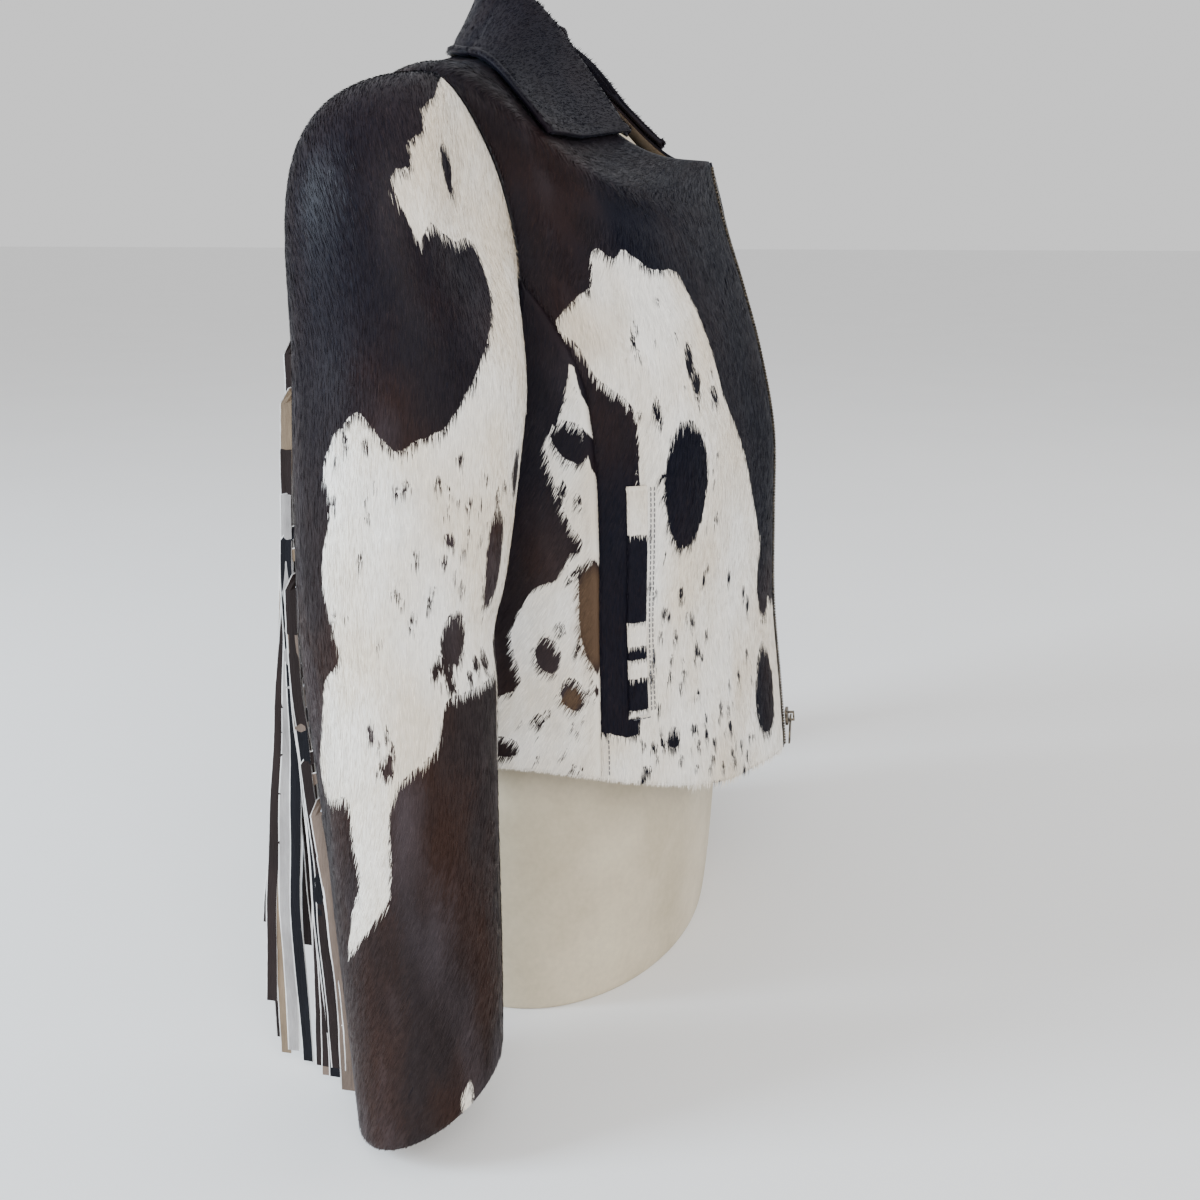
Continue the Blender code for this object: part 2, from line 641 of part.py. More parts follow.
def strip_rings(index):
    """The rings of one strip after its root: a bend down from the band, then the hanging run."""
    place = index % GROUP_SIZE
    root_z = strip_height(index)
    layer = (GROUP_SIZE / 2 - place // 2 - 0.5) * (1.0 if place % 2 else -1.0)
    seam, outward = fringe_line(root_z)
    side = np.array([-1.0, 0.0, 0.0])
    hang_x = seam[0] + layer * LAYER_PITCH
    wanted = root_z - STRIP_LENGTH - 0.012 * math.sin(index * 2.4)
    end_z = max(STRIP_END_Z + 0.003 * (index % 4), wanted)
    half_w, half_t = STRIP_WIDTH / 2, STRIP_THICKNESS / 2

    def ring(centre, turn):
        """Four corners, wide across the strip's run and thin from side to side."""
        across = np.array([0.0, math.sin(turn), math.cos(turn)])
        return [
            centre + across * half_w + side * half_t,
            centre + across * half_w - side * half_t,
            centre - across * half_w - side * half_t,
            centre - across * half_w + side * half_t,
        ]

    def run(z):
        """The middle of the hanging strip at a height."""
        here = fringe_line(max(z, 0.05))[0]
        return np.array([
            hang_x + (here[0] - seam[0]) * SEAM_FOLLOW,
            here[1] + BAND_GAP + BAND_DEPTH + strip_offset(index, z),
            z,
        ])

    bend_end = run(root_z - STRIP_BEND - 0.003)
    start = seam + outward * (BAND_GAP + BAND_DEPTH)
    half_way = (start + bend_end) / 2 + np.array([0.0, 0.0008, 0.0016])
    half_way[0] = start[0] + (bend_end[0] - start[0]) * 0.5
    rings = [ring(half_way, math.radians(40.0)), ring(bend_end, math.radians(90.0))]
    bottom = bend_end[2] - end_z
    for part in (0.4, 1.0):
        rings.append(ring(run(bend_end[2] - bottom * part), math.radians(90.0)))
    return rings


def fringe_mesh():
    """The right sleeve's fringe: a narrow band along the seam, and the strips that grow from it."""
    build = bmesh.new()
    count = GROUPS * GROUP_SIZE
    half_w, half_t = STRIP_WIDTH / 2, STRIP_THICKNESS / 2
    side = np.array([-1.0, 0.0, 0.0])
    levels = []
    for index in range(count):
        levels += [strip_height(index) + half_w, strip_height(index) - half_w]

    def band_ring(z):
        """Four corners of the band: two where strips start, then two by the sleeve."""
        seam, outward = fringe_line(z)
        inner = seam + outward * BAND_GAP
        outer = inner + outward * BAND_DEPTH
        corners = (outer + side * half_t, outer - side * half_t, inner - side * half_t, inner + side * half_t)
        return [build.verts.new((p[0], p[1], z)) for p in corners]

    rings = [band_ring(z) for z in levels]
    for k in range(len(rings) - 1):
        upper, lower = rings[k], rings[k + 1]
        for a, b in ((1, 2), (2, 3), (3, 0)):
            build.faces.new((upper[a], upper[b], lower[b], lower[a]))
        if k % 2 == 1:
            build.faces.new((upper[0], upper[1], lower[1], lower[0]))
    build.faces.new(rings[0][::-1])
    build.faces.new(rings[-1])
    for index in range(count):
        upper, lower = rings[2 * index], rings[2 * index + 1]
        previous = [upper[0], upper[1], lower[1], lower[0]]
        for points in strip_rings(index):
            current = [build.verts.new(tuple(p)) for p in points]
            for k in range(4):
                n = (k + 1) % 4
                build.faces.new((previous[k], previous[n], current[n], current[k]))
            previous = current
        build.faces.new(previous)
    bmesh.ops.triangulate(build, faces=build.faces)
    bmesh.ops.recalc_face_normals(build, faces=build.faces)
    return build


def fringe(name, left):
    """One sleeve's fringe as an object."""
    mesh = bpy.data.meshes.new(name)
    build = fringe_mesh()
    if left:
        bmesh.ops.scale(build, vec=(-1.0, 1.0, 1.0), verts=build.verts)
        bmesh.ops.reverse_faces(build, faces=build.faces)
    build.to_mesh(mesh)
    build.free()
    return link(name, mesh, BROWN)


def form_rows():
    """The dress form's rings: its own below the bust, then the jacket's, less the wearing ease."""
    rows = list(FORM_SECTIONS)
    for name, z_front, z_side, z_back, half_width, front, back, y_side, lift, _ in BODY_SECTIONS:
        if name not in FORM_SHARED:
            continue
        high = smooth((z_side - 0.50) / 0.07)
        drop = FORM_SHOULDER_EASE * high
        rows.append((
            name, z_front - drop * 0.5, z_side - drop, z_back - drop,
            half_width - FORM_EASE, front - FORM_EASE * 1.6, back - FORM_EASE,
            y_side, lift, 0.0,
        ))
    return rows + list(FORM_NECK)


def dress_form():
    """A limbless dress form, one smooth closed solid with a flat underside."""
    rows = form_rows()
    rings = []
    count = (len(rows) - 1) * FORM_STEPS
    for i in range(count + 1):
        values = section(rows, i / FORM_STEPS)
        rings.append([ring_point(values, -360.0 * j / FORM_COLUMNS) for j in range(FORM_COLUMNS)])
    made = prism("dress_form", rings, CREAM)
    made.data.shade_smooth()
    made.data.set_sharp_from_angle(angle=math.radians(50.0))
    return made


def box(name, size, centre):
    """A box mesh object that is not linked as a part, for the zip's small pieces."""
    mesh = bpy.data.meshes.new(name)
    build = bmesh.new()
    bmesh.ops.create_cube(build, size=1.0)
    bmesh.ops.scale(build, vec=size, verts=build.verts)
    bmesh.ops.translate(build, vec=centre, verts=build.verts)
    build.to_mesh(mesh)
    build.free()
    return bpy.data.objects.new(name, mesh)


def cutter(name, size, centre):
    """A box that a Boolean uses, kept out of the model."""
    made = box(name, size, centre)
    CUTTERS.objects.link(made)
    made.hide_render = True
    made.display_type = "WIRE"
    return made


def boolean(target, tool, operation):
    """Joins or cuts the target with a tool."""
    change = target.modifiers.new(operation.title(), "BOOLEAN")
    change.operation = operation
    change.object = tool


def zip_head():
    """The slider with its bridge, and the pull tab that turns on the bridge.

    Both are modelled facing -Y, with the hinge axis at their origin. The slider is then
    leaned to lie along the zip, and the pull tab hangs straight down."""
    row = row_at(0.0, SLIDER_Z)
    normal = body_normal(0.0, row)
    slope = math.atan2(normal[2], -normal[1])
    front_of_chain = ZIP_THICKNESS * 0.35 + SOLE_GAP
    hinge_out = front_of_chain + SLIDER_DEPTH + BRIDGE_REACH / 2
    at = body(0.0, row) + normal * hinge_out + np.array([SLIDER_X, 0.0, 0.0])
    back = hinge_out - front_of_chain

    slider = box("zip_slider", (SLIDER_WIDTH, SLIDER_DEPTH, SLIDER_HEIGHT), (0, back - SLIDER_DEPTH / 2, 0))
    slider.data.materials.append(METAL)
    COLLECTION.objects.link(slider)
    outer_y = -BRIDGE_REACH / 2 - BRIDGE_BAR
    sunk = 0.0008
    bridge = cutter(
        "bridge",
        (BRIDGE_WIDTH, BRIDGE_REACH + BRIDGE_BAR + sunk, BRIDGE_LENGTH),
        (0, outer_y + (BRIDGE_REACH + BRIDGE_BAR + sunk) / 2, 0),
    )
    boolean(slider, bridge, "UNION")
    hole = cutter(
        "bridge_hole",
        (BRIDGE_WIDTH * 3, BRIDGE_REACH, BRIDGE_LENGTH - 2 * BRIDGE_BAR),
        (0, 0, 0),
    )
    boolean(slider, hole, "DIFFERENCE")

    pull = box(
        "zip_pull",
        (PULL_WIDTH, PULL_THICKNESS, PULL_LENGTH),
        (0, 0, PULL_BAR / 2 - PULL_LENGTH / 2),
    )
    pull.data.materials.append(METAL)
    COLLECTION.objects.link(pull)
    ring_hole = cutter(
        "ring_hole",
        (BRIDGE_WIDTH + 0.0012, 0.01, BRIDGE_LENGTH / 2 + 0.0008),
        (0, 0, -PULL_BAR / 2 - (BRIDGE_LENGTH / 2 + 0.0008) / 2),
    )
    boolean(pull, ring_hole, "DIFFERENCE")
    for piece in (slider, pull, bridge, hole, ring_hole):
        piece.location = Vector(at)
    for piece in (slider, bridge, hole):
        piece.rotation_euler = (-slope, 0.0, 0.0)


def clear_scene():
    """Removes whatever the file holds."""
    for found in list(bpy.data.objects):
        bpy.data.objects.remove(found)


def build_jacket():
    """Every piece of the jacket, and the form that it hangs on."""
    fronts = front_panel()
    sides = side_panel()
    welts = welt_grid()
    top_angles = [angle - 360.0 for angle in top_back_angles()] + front_angles()[1:]
    under_angles = underarm_angles() + under_back_angles()[1:]
    top_sleeves = sleeve_panel(top_angles)
    under_sleeves = sleeve_panel(under_angles)
    pieces = (
        ("front", fronts, HIDE, BLACK),
        ("side_panel", sides, HIDE, BROWN),
        ("pocket_welt", welts, WELT_THICKNESS, BLACK),
        ("top_sleeve", top_sleeves, HIDE, BROWN),
        ("under_sleeve", under_sleeves, HIDE, BROWN),
    )
    for name, grid, thickness, finish in pieces:
        wall(name + "_right", grid, thickness, finish)
        wall(name + "_left", mirrored(grid), thickness, finish)
    wall("back", back_panel(), HIDE, BROWN)
    wall("collar", collar_grid(), COLLAR_THICKNESS, BLACK)
    zip_row("zip_row_right", -1.0)
    zip_row("zip_row_left", 1.0)
    zip_head()
    fringe("sleeve_fringe_right", False)
    fringe("sleeve_fringe_left", True)
    dress_form()


clear_scene()
COLLECTION = bpy.data.collections.new("cowhide jacket")
bpy.context.scene.collection.children.link(COLLECTION)
CUTTERS = bpy.data.collections.new("cutters")
bpy.context.scene.collection.children.link(CUTTERS)
BLACK = material("black hair", BLACK_HAIR, 0.45)
BROWN = material("brown hair", BROWN_HAIR, 0.5)
CREAM = material("form cream", FORM_CREAM, 0.6)
METAL = material("dark metal", DARK_METAL, 0.35, 1.0)
build_jacket()
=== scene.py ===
"""The looks of the cowhide jacket: hide, hair, patches, zip, welts, fringe and the dress form.

Metres, +Z up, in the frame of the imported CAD. The wearer faces -Y, the wearer's right is at -X.
The tables of sections and folds are those of the CAD, so every shell lies on its own solid.
"""

import math

import bmesh
import bpy
import numpy as np
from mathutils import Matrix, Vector


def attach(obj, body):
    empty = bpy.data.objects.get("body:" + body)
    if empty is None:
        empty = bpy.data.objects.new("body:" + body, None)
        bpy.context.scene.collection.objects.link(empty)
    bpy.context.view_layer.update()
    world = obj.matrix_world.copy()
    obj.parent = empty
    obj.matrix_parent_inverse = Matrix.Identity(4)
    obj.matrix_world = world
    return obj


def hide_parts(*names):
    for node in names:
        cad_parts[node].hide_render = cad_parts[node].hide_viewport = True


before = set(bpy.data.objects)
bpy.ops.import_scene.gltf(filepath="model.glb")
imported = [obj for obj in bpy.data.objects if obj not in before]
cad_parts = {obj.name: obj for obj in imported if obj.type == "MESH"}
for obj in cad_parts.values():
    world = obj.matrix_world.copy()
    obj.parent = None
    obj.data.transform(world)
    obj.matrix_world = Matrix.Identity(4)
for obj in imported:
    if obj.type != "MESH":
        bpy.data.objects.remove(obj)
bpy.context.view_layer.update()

# What keeps a direction's level part
LEVEL = np.array([1.0, 1.0, 0.0])

# Thicknesses and gaps
HIDE = 0.0020
COLLAR_THICKNESS = 0.0028
SOLE_GAP = 0.0003

# Body of the jacket: closed rings, from the hem to the neckline.
# z_front, z_side, z_back: the ring's height at centre front, side and centre back.
# half_width, front, back: how far it reaches to the side, forward and backward.
# y_side: where its widest point lies. lift: how late the ring rises towards the side.
# ridge: how far the zip's two edges stand forward of the round front.
BODY_SECTIONS = (
    ("hem",       0.137, 0.178, 0.168, 0.181, 0.1640, 0.122, 0.000, 2.5, 0.011),
    ("high hip",  0.185, 0.210, 0.208, 0.176, 0.1590, 0.114, 0.000, 2.5, 0.010),
    ("waist",     0.248, 0.264, 0.264, 0.168, 0.1520, 0.105, 0.000, 2.5, 0.009),
    ("rib",       0.308, 0.318, 0.320, 0.163, 0.1500, 0.105, 0.002, 2.5, 0.008),
    ("bust",      0.366, 0.370, 0.378, 0.163, 0.1480, 0.111, 0.005, 2.5, 0.008),
    ("armpit",    0.418, 0.408, 0.432, 0.165, 0.1375, 0.117, 0.008, 2.5, 0.006),
    ("chest",     0.460, 0.464, 0.484, 0.172, 0.1250, 0.117, 0.011, 3.0, 0.004),
    ("yoke",      0.495, 0.526, 0.532, 0.187, 0.1130, 0.110, 0.014, 4.0, 0.003),
    ("shoulder",  0.517, 0.578, 0.572, 0.206, 0.1065, 0.096, 0.018, 6.5, 0.002),
    ("shoulder top", 0.531, 0.590, 0.592, 0.146, 0.1030, 0.067, 0.022, 8.5, 0.001),
    ("neckline",  0.541, 0.600, 0.609, 0.078, 0.1010, 0.041, 0.013, 7.0, 0.000),
)
RIDGE_WIDTH = 0.034
SHOULDER_ROW = 8.0
NECK_ROW = 10.0

# The bust's crown: how far it stands out, and where, in degrees from centre front and rows
BUST_RISE = 0.007
BUST_ANGLE, BUST_ANGLE_SPREAD = 42.0, 19.0
BUST_ROW, BUST_ROW_SPREAD = 4.1, 1.3

# Armhole: an oval in degrees round the body and rows up it
ARMHOLE_ROW, ARMHOLE_HALF_ROWS = 6.5, 1.5
ARMHOLE_FRONT_DEG, ARMHOLE_BACK_DEG = 13.5, 38.0

# Seams of the body, in degrees from centre front
PRINCESS_DEG = 64.8
PRINCESS_BEND_ROW = 4.9
SIDE_SEAM_DEG = 95.0
ZIP_HALF_WIDTH = 0.0036

# Sleeve below the arm: one row for each ring of the tube, with the z, x and y of its middle, its half
# width and half depth, and how far its outer and front sides lie above its middle.
SLEEVE_SECTIONS = (
    ("cap base",  0.410, 0.2430, 0.0225, 0.0545, 0.0620, 0.028, 0.000),
    ("upper arm", 0.355, 0.2500, 0.0245, 0.0530, 0.0590, 0.018, 0.000),
    ("elbow",     0.285, 0.2590, 0.0265, 0.0505, 0.0545, 0.008, 0.000),
    ("forearm",   0.205, 0.2700, 0.0210, 0.0485, 0.0495, 0.004, 0.004),
    ("wrist",     0.113, 0.2815, 0.0125, 0.0460, 0.0450, -0.004, 0.010),
    ("cuff",      0.030, 0.2915, 0.0060, 0.0445, 0.0410, -0.011, 0.019),
)

# Where seams meet the armhole, in degrees round it and round the sleeve: 0 on top, 90 in front.
# The sleeve's front seam runs on from the princess seam.
SLEEVE_FRONT_SEAM_DEG, SLEEVE_BACK_SEAM_DEG = 103.5, 262.0
CAP_FULLNESS = 1.05
CAP_TOP_FULLNESS, CAP_BACK_FULLNESS = 0.35, 0.65
CAP_BACK_DEG = 320.0

# Largest folds: degrees round and height of the middle, length up and down, width in degrees,
# lean in degrees per metre, and depth. A ridge has a negative depth.
SLEEVE_FOLDS = (
    ("back of the cap",  -52.0, 0.505, 0.070, 15.0, 260.0, 0.0030),
    ("elbow crook",       78.0, 0.292, 0.022, 34.0, -900.0, 0.0045),
    ("forearm trough",    58.0, 0.205, 0.050, 17.0, -420.0, 0.0035),
    ("outer forearm",     10.0, 0.125, 0.045, 16.0, 380.0, 0.0030),
    ("back of forearm",  -48.0, 0.215, 0.055, 14.0, 240.0, 0.0028),
    ("wrist roll",        30.0, 0.060, 0.016, 46.0, 700.0, 0.0022),
    ("inner elbow",      150.0, 0.300, 0.020, 36.0, 600.0, 0.0040),
    ("inner forearm",    205.0, 0.190, 0.050, 16.0, 260.0, 0.0030),
)
BODY_FOLDS = (
    ("front armhole drag", 62.0, 0.500, 0.042, 4.2, 120.0, 0.0035),
    ("towards the bust",   55.0, 0.448, 0.026, 6.0, 420.0, 0.0028),
    ("below the bust",     30.0, 0.255, 0.060, 9.0, -60.0, 0.0030),
    ("front hem wave",     18.0, 0.175, 0.040, 6.0, 30.0, 0.0025),
    ("side hem wave",      80.0, 0.200, 0.050, 8.0, 40.0, 0.0028),
    ("back waist left",   150.0, 0.285, 0.045, 9.0, 120.0, 0.0030),
    ("back hem wave",     172.0, 0.205, 0.050, 8.0, -80.0, 0.0026),
)

# Collar
COLLAR_END_DEG, COLLAR_POINT_DEG, COLLAR_POINT_SPAN_DEG = 52.0, 63.0, 42.0
COLLAR_STAND_END, COLLAR_STAND = 0.002, 0.0335
COLLAR_RISE_RIGHT, COLLAR_RISE_LEFT = (52.0, 82.0, 1.0), (70.0, 98.0, 1.3)
COLLAR_ROLL, COLLAR_STAND_ROWS, COLLAR_LEAF_ROWS = 0.0058, 3, 5
COLLAR_LEAF_ROW_POINT, COLLAR_LEAF_ROW_FRONT, COLLAR_LEAF_ROW_BACK = 8.05, 9.28, 9.38
COLLAR_FOOT_GAP, COLLAR_CLEAR, COLLAR_POINT_CLEAR = 0.0012, 0.0012, 0.0016
COLLAR_STAND_LEAN = 0.10

# The collar's padded edge: how high, and how far in and how wide its ridge and its groove are
COLLAR_EDGE_HEIGHT = 0.0007
COLLAR_RIDGE_AT, COLLAR_RIDGE_WIDTH = 0.0030, 0.0026
COLLAR_GROOVE_AT, COLLAR_GROOVE_WIDTH, COLLAR_GROOVE_SHARE = 0.0078, 0.0016, 1.6

# Welt pockets, in degrees from centre front and heights
POCKET_DEG, POCKET_TOP_Z, POCKET_BOTTOM_Z = 55.6, 0.350, 0.206
WELT_WIDTH, WELT_THICKNESS = 0.014, 0.0016
BODY_HALF_WIDTH_AT_WELT = 0.163
WELT_HALF_DEG = math.degrees(WELT_WIDTH / 2 / BODY_HALF_WIDTH_AT_WELT)

# Fringe: strips cut from one band that is sewn into the back seam of the sleeve.
# They hang in groups, one behind the other. In a group each strip has a layer of its own,
# and the upper strips take the outer layers, so that no two strips meet.
STRIP_WIDTH, STRIP_THICKNESS = 0.0070, 0.0016
GROUPS, GROUP_SIZE = 3, 10
STRIP_COUNT = GROUPS * GROUP_SIZE
FRINGE_TOP_Z, FRINGE_BOTTOM_Z = 0.440, 0.074
BAND_GAP, BAND_DEPTH, BAND_PAST_STRIPS, BAND_RINGS, STRIP_BEND = 0.0009, 0.0030, 0.004, 60, 0.0042
LAYER_PITCH = 0.0021
GROUP_STEP = 0.0078
GROUP_REACH = ((0.034, 0.068), (0.013, 0.025), (0.000, 0.004))
STRIP_SHARE = (1.0, 0.35, 0.7, 0.1, 0.9, 0.0, 0.5, 0.8, 0.2, 0.6)
STRIP_LENGTH, STRIP_END_Z = 0.345, 0.007
STRIP_RINGS = 26
STRIP_END_STEP, STRIP_LENGTH_SPREAD = 0.003, 0.012
SEAM_FOLLOW = 0.35
STRIP_WAVES, STRIP_SWAY = ((0.0010, 41.0, 0.6), (0.0006, 97.0, 0.0)), 0.0016
STRIP_EDGE_WAVE, STRIP_CUP, STRIP_THINNED = 0.06, 0.00018, 0.9

# Zip: the tape between its inner and outer edges, in metres from the middle, and its teeth
ZIP_INNER, ZIP_OUTER, ZIP_THICKNESS = 0.0006, 0.0027, 0.0030
ZIP_ROWS, ZIP_BELOW_NECK, TAPE_SHARE = 260, 0.25, 0.7
METAL_BEVEL = 0.00025
TOOTH_PITCH, TOOTH_HEIGHT = 0.0021, 0.0012

# Dress form below and inside the jacket; the columns are those of the body's rings.
FORM_SECTIONS = (
    ("sole",      0.000, 0.000, 0.000, 0.1600, 0.0985, 0.1010, 0.000, 2.5, 0.000),
    ("sole edge", 0.006, 0.006, 0.006, 0.1660, 0.1035, 0.1060, 0.000, 2.5, 0.000),
    ("hip",       0.060, 0.060, 0.060, 0.1680, 0.1085, 0.1100, 0.000, 2.5, 0.000),
    ("belly",     0.115, 0.115, 0.115, 0.1620, 0.1100, 0.1040, 0.000, 2.5, 0.000),
    ("high hip",  0.175, 0.175, 0.175, 0.1480, 0.1020, 0.0920, 0.000, 2.5, 0.000),
    ("waist",     0.240, 0.240, 0.240, 0.1320, 0.0900, 0.0800, 0.000, 2.5, 0.000),
    ("rib",       0.303, 0.303, 0.303, 0.1420, 0.1040, 0.0880, 0.002, 2.5, 0.000),
    ("bust",      0.362, 0.364, 0.372, 0.1550, 0.1340, 0.1020, 0.005, 2.5, 0.000),
)
FORM_SHARED = ("armpit", "chest", "yoke", "shoulder", "shoulder top")
FORM_EASE, FORM_SHOULDER_EASE = 0.0078, 0.0019
FORM_NECK = (
    ("neck root", 0.527, 0.592, 0.599, 0.0760, 0.0880, 0.0450, 0.012, 8.0, 0.000),
    ("neck",      0.545, 0.598, 0.604, 0.0590, 0.0580, 0.0340, 0.006, 5.0, 0.000),
    ("neck top",  0.575, 0.600, 0.606, 0.0400, 0.0300, 0.0260, 0.003, 3.0, 0.000),
)
FORM_RINGS, FORM_PLACES = 120, 120

# Scales of a panel's own coordinates: metres for a degree round, and for a row up the body
BODY_DEG, BODY_ROW, SLEEVE_DEG, COLLAR_DEG = 0.0027, 0.052, 0.00092, 0.0016
CAP_LENGTH, TUBE_LENGTH = 0.15, 0.38

# Rows and places of points in the dense shells
FRONT_ROWS, FRONT_PLACES = 161, 66
SIDE_ROWS, SIDE_PLACES = 84, 34
BACK_ROWS, BACK_PLACES = 151, 124
TUBE_PLACES, CAP_PLACES = 120, 60
TOP_PLACES, UNDER_PLACES = 66, 50
WELT_ROWS, WELT_PLACES = 72, 9
COLLAR_ROWS, COLLAR_PLACES = 41, 161

# How deep and how wide the hide is pressed in at its seams and edges, and where a front is pieced
SEAM_DEPTH, SEAM_WIDTH = 0.0011, 0.0018
EDGE_DEPTH, EDGE_WIDTH = 0.0009, 0.0013
WELT_EDGE_DEPTH, WELT_EDGE_WIDTH = 0.0009, 0.0012
POCKET_SEAM_DEG, POCKET_SEAM_ROWS = 54.0, (3.5, 6.6)

# Hair: the size of a blade, how much blades differ, and the lumps of fur at the hem of a front.
# The densities are in blades for each square metre, where the photograph shows the hide and elsewhere.
HAIR_LENGTH, HAIR_WIDTH, HAIR_LIFT = 0.0065, 0.00072, 0.0005
LEAN_SPREAD, ROLL_SPREAD = 0.13, 0.20
SHELL_SHADE = 0.35
HAIR_SHEEN_TILT, WHITE_SPREAD, BROWN_SPREAD = 0.10, 0.0006, 0.10
HEM_LUMP, HEM_LUMP_PITCH, HEM_LUMPS_UP_TO_DEG = 0.0085, 0.0145, 46.0
HAIR_DENSITY, HIDDEN_DENSITY = 560000.0, 330000.0
HAIR_OVERHANG, HAIR_ROOT_DEPTH, SHORTEST_HAIR = 0.002, 0.00012, 0.0015
WELT_HAIR_LENGTH, COLLAR_HAIR_LENGTH = 0.004, 0.0032

# How far inside white hair a place counts where a panel has none near, in metres
NO_WHITE = -0.05

# White patches of each panel: closed outlines, in degrees round and rows up the body,
# or degrees round the sleeve and places along it (0 at the armhole, 1 at the cap's base, 2 at the cuff).
WHITE_PATCHES = (
    ("front_right", (
        (57, 6.5), (52, 6.42), (49, 6.55), (42, 6.33), (34, 6.33), (31, 5.9), (28, 5.3), (26.5, 4.6),
        (19.5, 3.9), (12, 3.05), (6, 2.1), (-6, 1.7), (-8, -1.0), (72, -1.0), (70, 0.8), (56, 0.85),
        (55.3, 2.0), (54.8, 3.6), (54, 4.55), (57, 4.85), (62, 5.1), (65, 5.45), (70, 5.7), (64, 5.95),
        (59, 6.1),
    )),
    ("side_panel_right", (
        (67.3, 5.35), (71, 4.7), (76, 4.2), (74.5, 3.6), (70.5, 3.05), (75, 2.6), (81, 2.45),
        (86.5, 1.95), (84, 1.4), (97, 0.95), (104, -1.0), (55, -1.0), (55, 4.2), (63, 4.5), (66, 4.9),
    )),
    ("top_sleeve_right", (
        (15, -0.1), (12, -0.02), (14, 0.08), (15, 0.15), (11, 0.25), (14, 0.32), (9, 0.39), (12, 0.45),
        (5, 0.5), (8, 0.56), (14, 0.6), (19, 0.64), (24, 0.55), (39, 0.51), (49, 0.43), (57, 0.46),
        (63, 0.61), (61, 0.76), (54, 0.93), (47, 1.03), (38, 1.09), (24, 1.12), (14, 1.14), (4, 1.11),
        (-5, 1.08), (-18, 1.12), (-25, 1.17), (-20, 1.22), (-27, 1.31), (-19, 1.38), (-17, 1.42),
        (-30, 1.45), (-38, 1.5), (-54, 1.57), (-42, 1.6), (-19, 1.59), (-17, 1.65), (-15, 1.68),
        (-24, 1.71), (-34, 1.76), (-18, 1.74), (3, 1.7), (8, 1.65), (9, 1.61), (16, 1.57), (40, 1.53),
        (46, 1.47), (70, 1.455), (104, 1.44), (122, 1.42), (122, 0.7), (118, -0.3), (60, -0.3),
        (24, -0.14),
    )),
    ("top_sleeve_right", (
        (98, 1.38), (120, 1.38), (120, 1.6), (100, 1.58),
    )),
    ("top_sleeve_right", (
        (49, 1.972), (55, 1.968), (57, 2.03), (47, 2.03),
    )),
    ("under_sleeve_right", (
        (95, 0.2), (126, 0.5), (121, 0.9), (132, 1.15), (124, 1.3), (95, 1.42),
    )),
    ("under_sleeve_right", (
        (190, 1.25), (214, 1.18), (226, 1.36), (215, 1.62), (198, 1.7), (186, 1.5),
    )),
    ("back", (
        (126, -1.0), (129, 0.6), (138, 1.1), (136, 1.7), (147, 2.1), (143, 2.8), (141, 3.4), (151, 3.7),
        (149, 4.5), (155, 4.9), (158, 5.6), (167, 5.5), (176, 5.8), (184, 6.3), (196, 6.1), (201, 5.4),
        (197, 4.9), (206, 4.4), (208, 3.9), (219, 3.9), (217, 3.2), (212, 2.9), (221, 2.3), (232, 2.1),
        (243, 1.5), (238, 0.9), (246, 0.4), (244, -1.0),
    )),
    ("back", (
        (238, 5.2), (243, 5.9), (251, 6.0), (256, 5.4), (263, 5.0), (261, 4.2), (270, 3.4), (266, 2.6),
        (258, 2.9), (252, 3.6), (247, 3.5), (245, 4.4),
    )),
    ("back", (
        (99, 3.4), (104, 4.1), (110, 3.8), (114, 3.1), (119, 2.5), (113, 2.0), (112, 1.2), (103, 0.9),
        (96, 1.3), (99, 2.2),
    )),
    ("front_left", (
        (25, 5.7), (28, 6.1), (35, 6.2), (38, 6.6), (47, 6.5), (50, 6.1), (56, 6.0), (59, 5.5), (64, 5.3),
        (62, 4.7), (56, 4.4), (57, 3.9), (52, 3.6), (53, 3.0), (48, 2.8), (47, 3.3), (41, 3.1), (38, 2.6),
        (34, 2.9), (30, 3.5), (31, 4.1), (26, 4.5), (27, 5.1),
    )),
    ("front_left", (
        (-8, 0.9), (3, 1.0), (6, 1.5), (13, 1.6), (17, 1.2), (23, 0.7), (30, 0.9), (34, 1.4), (43, 1.5),
        (47, 1.1), (53, 0.8), (60, 1.2), (72, 1.5), (72, -1.0), (-8, -1.0),
    )),
    ("side_panel_left", (
        (55, 1.7), (64, 1.9), (69, 2.6), (75, 2.9), (80, 2.3), (78, 1.8), (86, 1.5), (104, 1.4),
        (104, -1.0), (55, -1.0),
    )),
    ("top_sleeve_left", (
        (120, 0.36), (96, 0.34), (86, 0.41), (74, 0.38), (66, 0.46), (63, 0.56), (52, 0.6), (50, 0.72),
        (37, 0.8), (36, 0.92), (45, 1.0), (41, 1.08), (27, 1.12), (24, 1.19), (6, 1.21), (-4, 1.29),
        (-2, 1.38), (-12, 1.43), (-6, 1.5), (8, 1.53), (17, 1.49), (30, 1.55), (33, 1.63), (42, 1.69),
        (48, 1.8), (55, 1.72), (58, 1.62), (74, 1.57), (86, 1.6), (120, 1.54),
    )),
    ("top_sleeve_left", (
        (-62, 0.6), (-53, 0.56), (-44, 0.7), (-47, 0.82), (-38, 0.95), (-43, 1.08), (-56, 1.12),
        (-60, 1.2), (-71, 1.13), (-69, 0.98), (-78, 0.88), (-73, 0.72),
    )),
    ("under_sleeve_left", (
        (95, 0.42), (112, 0.5), (117, 0.66), (130, 0.78), (124, 0.95), (127, 1.12), (136, 1.3),
        (122, 1.38), (114, 1.55), (95, 1.6),
    )),
)

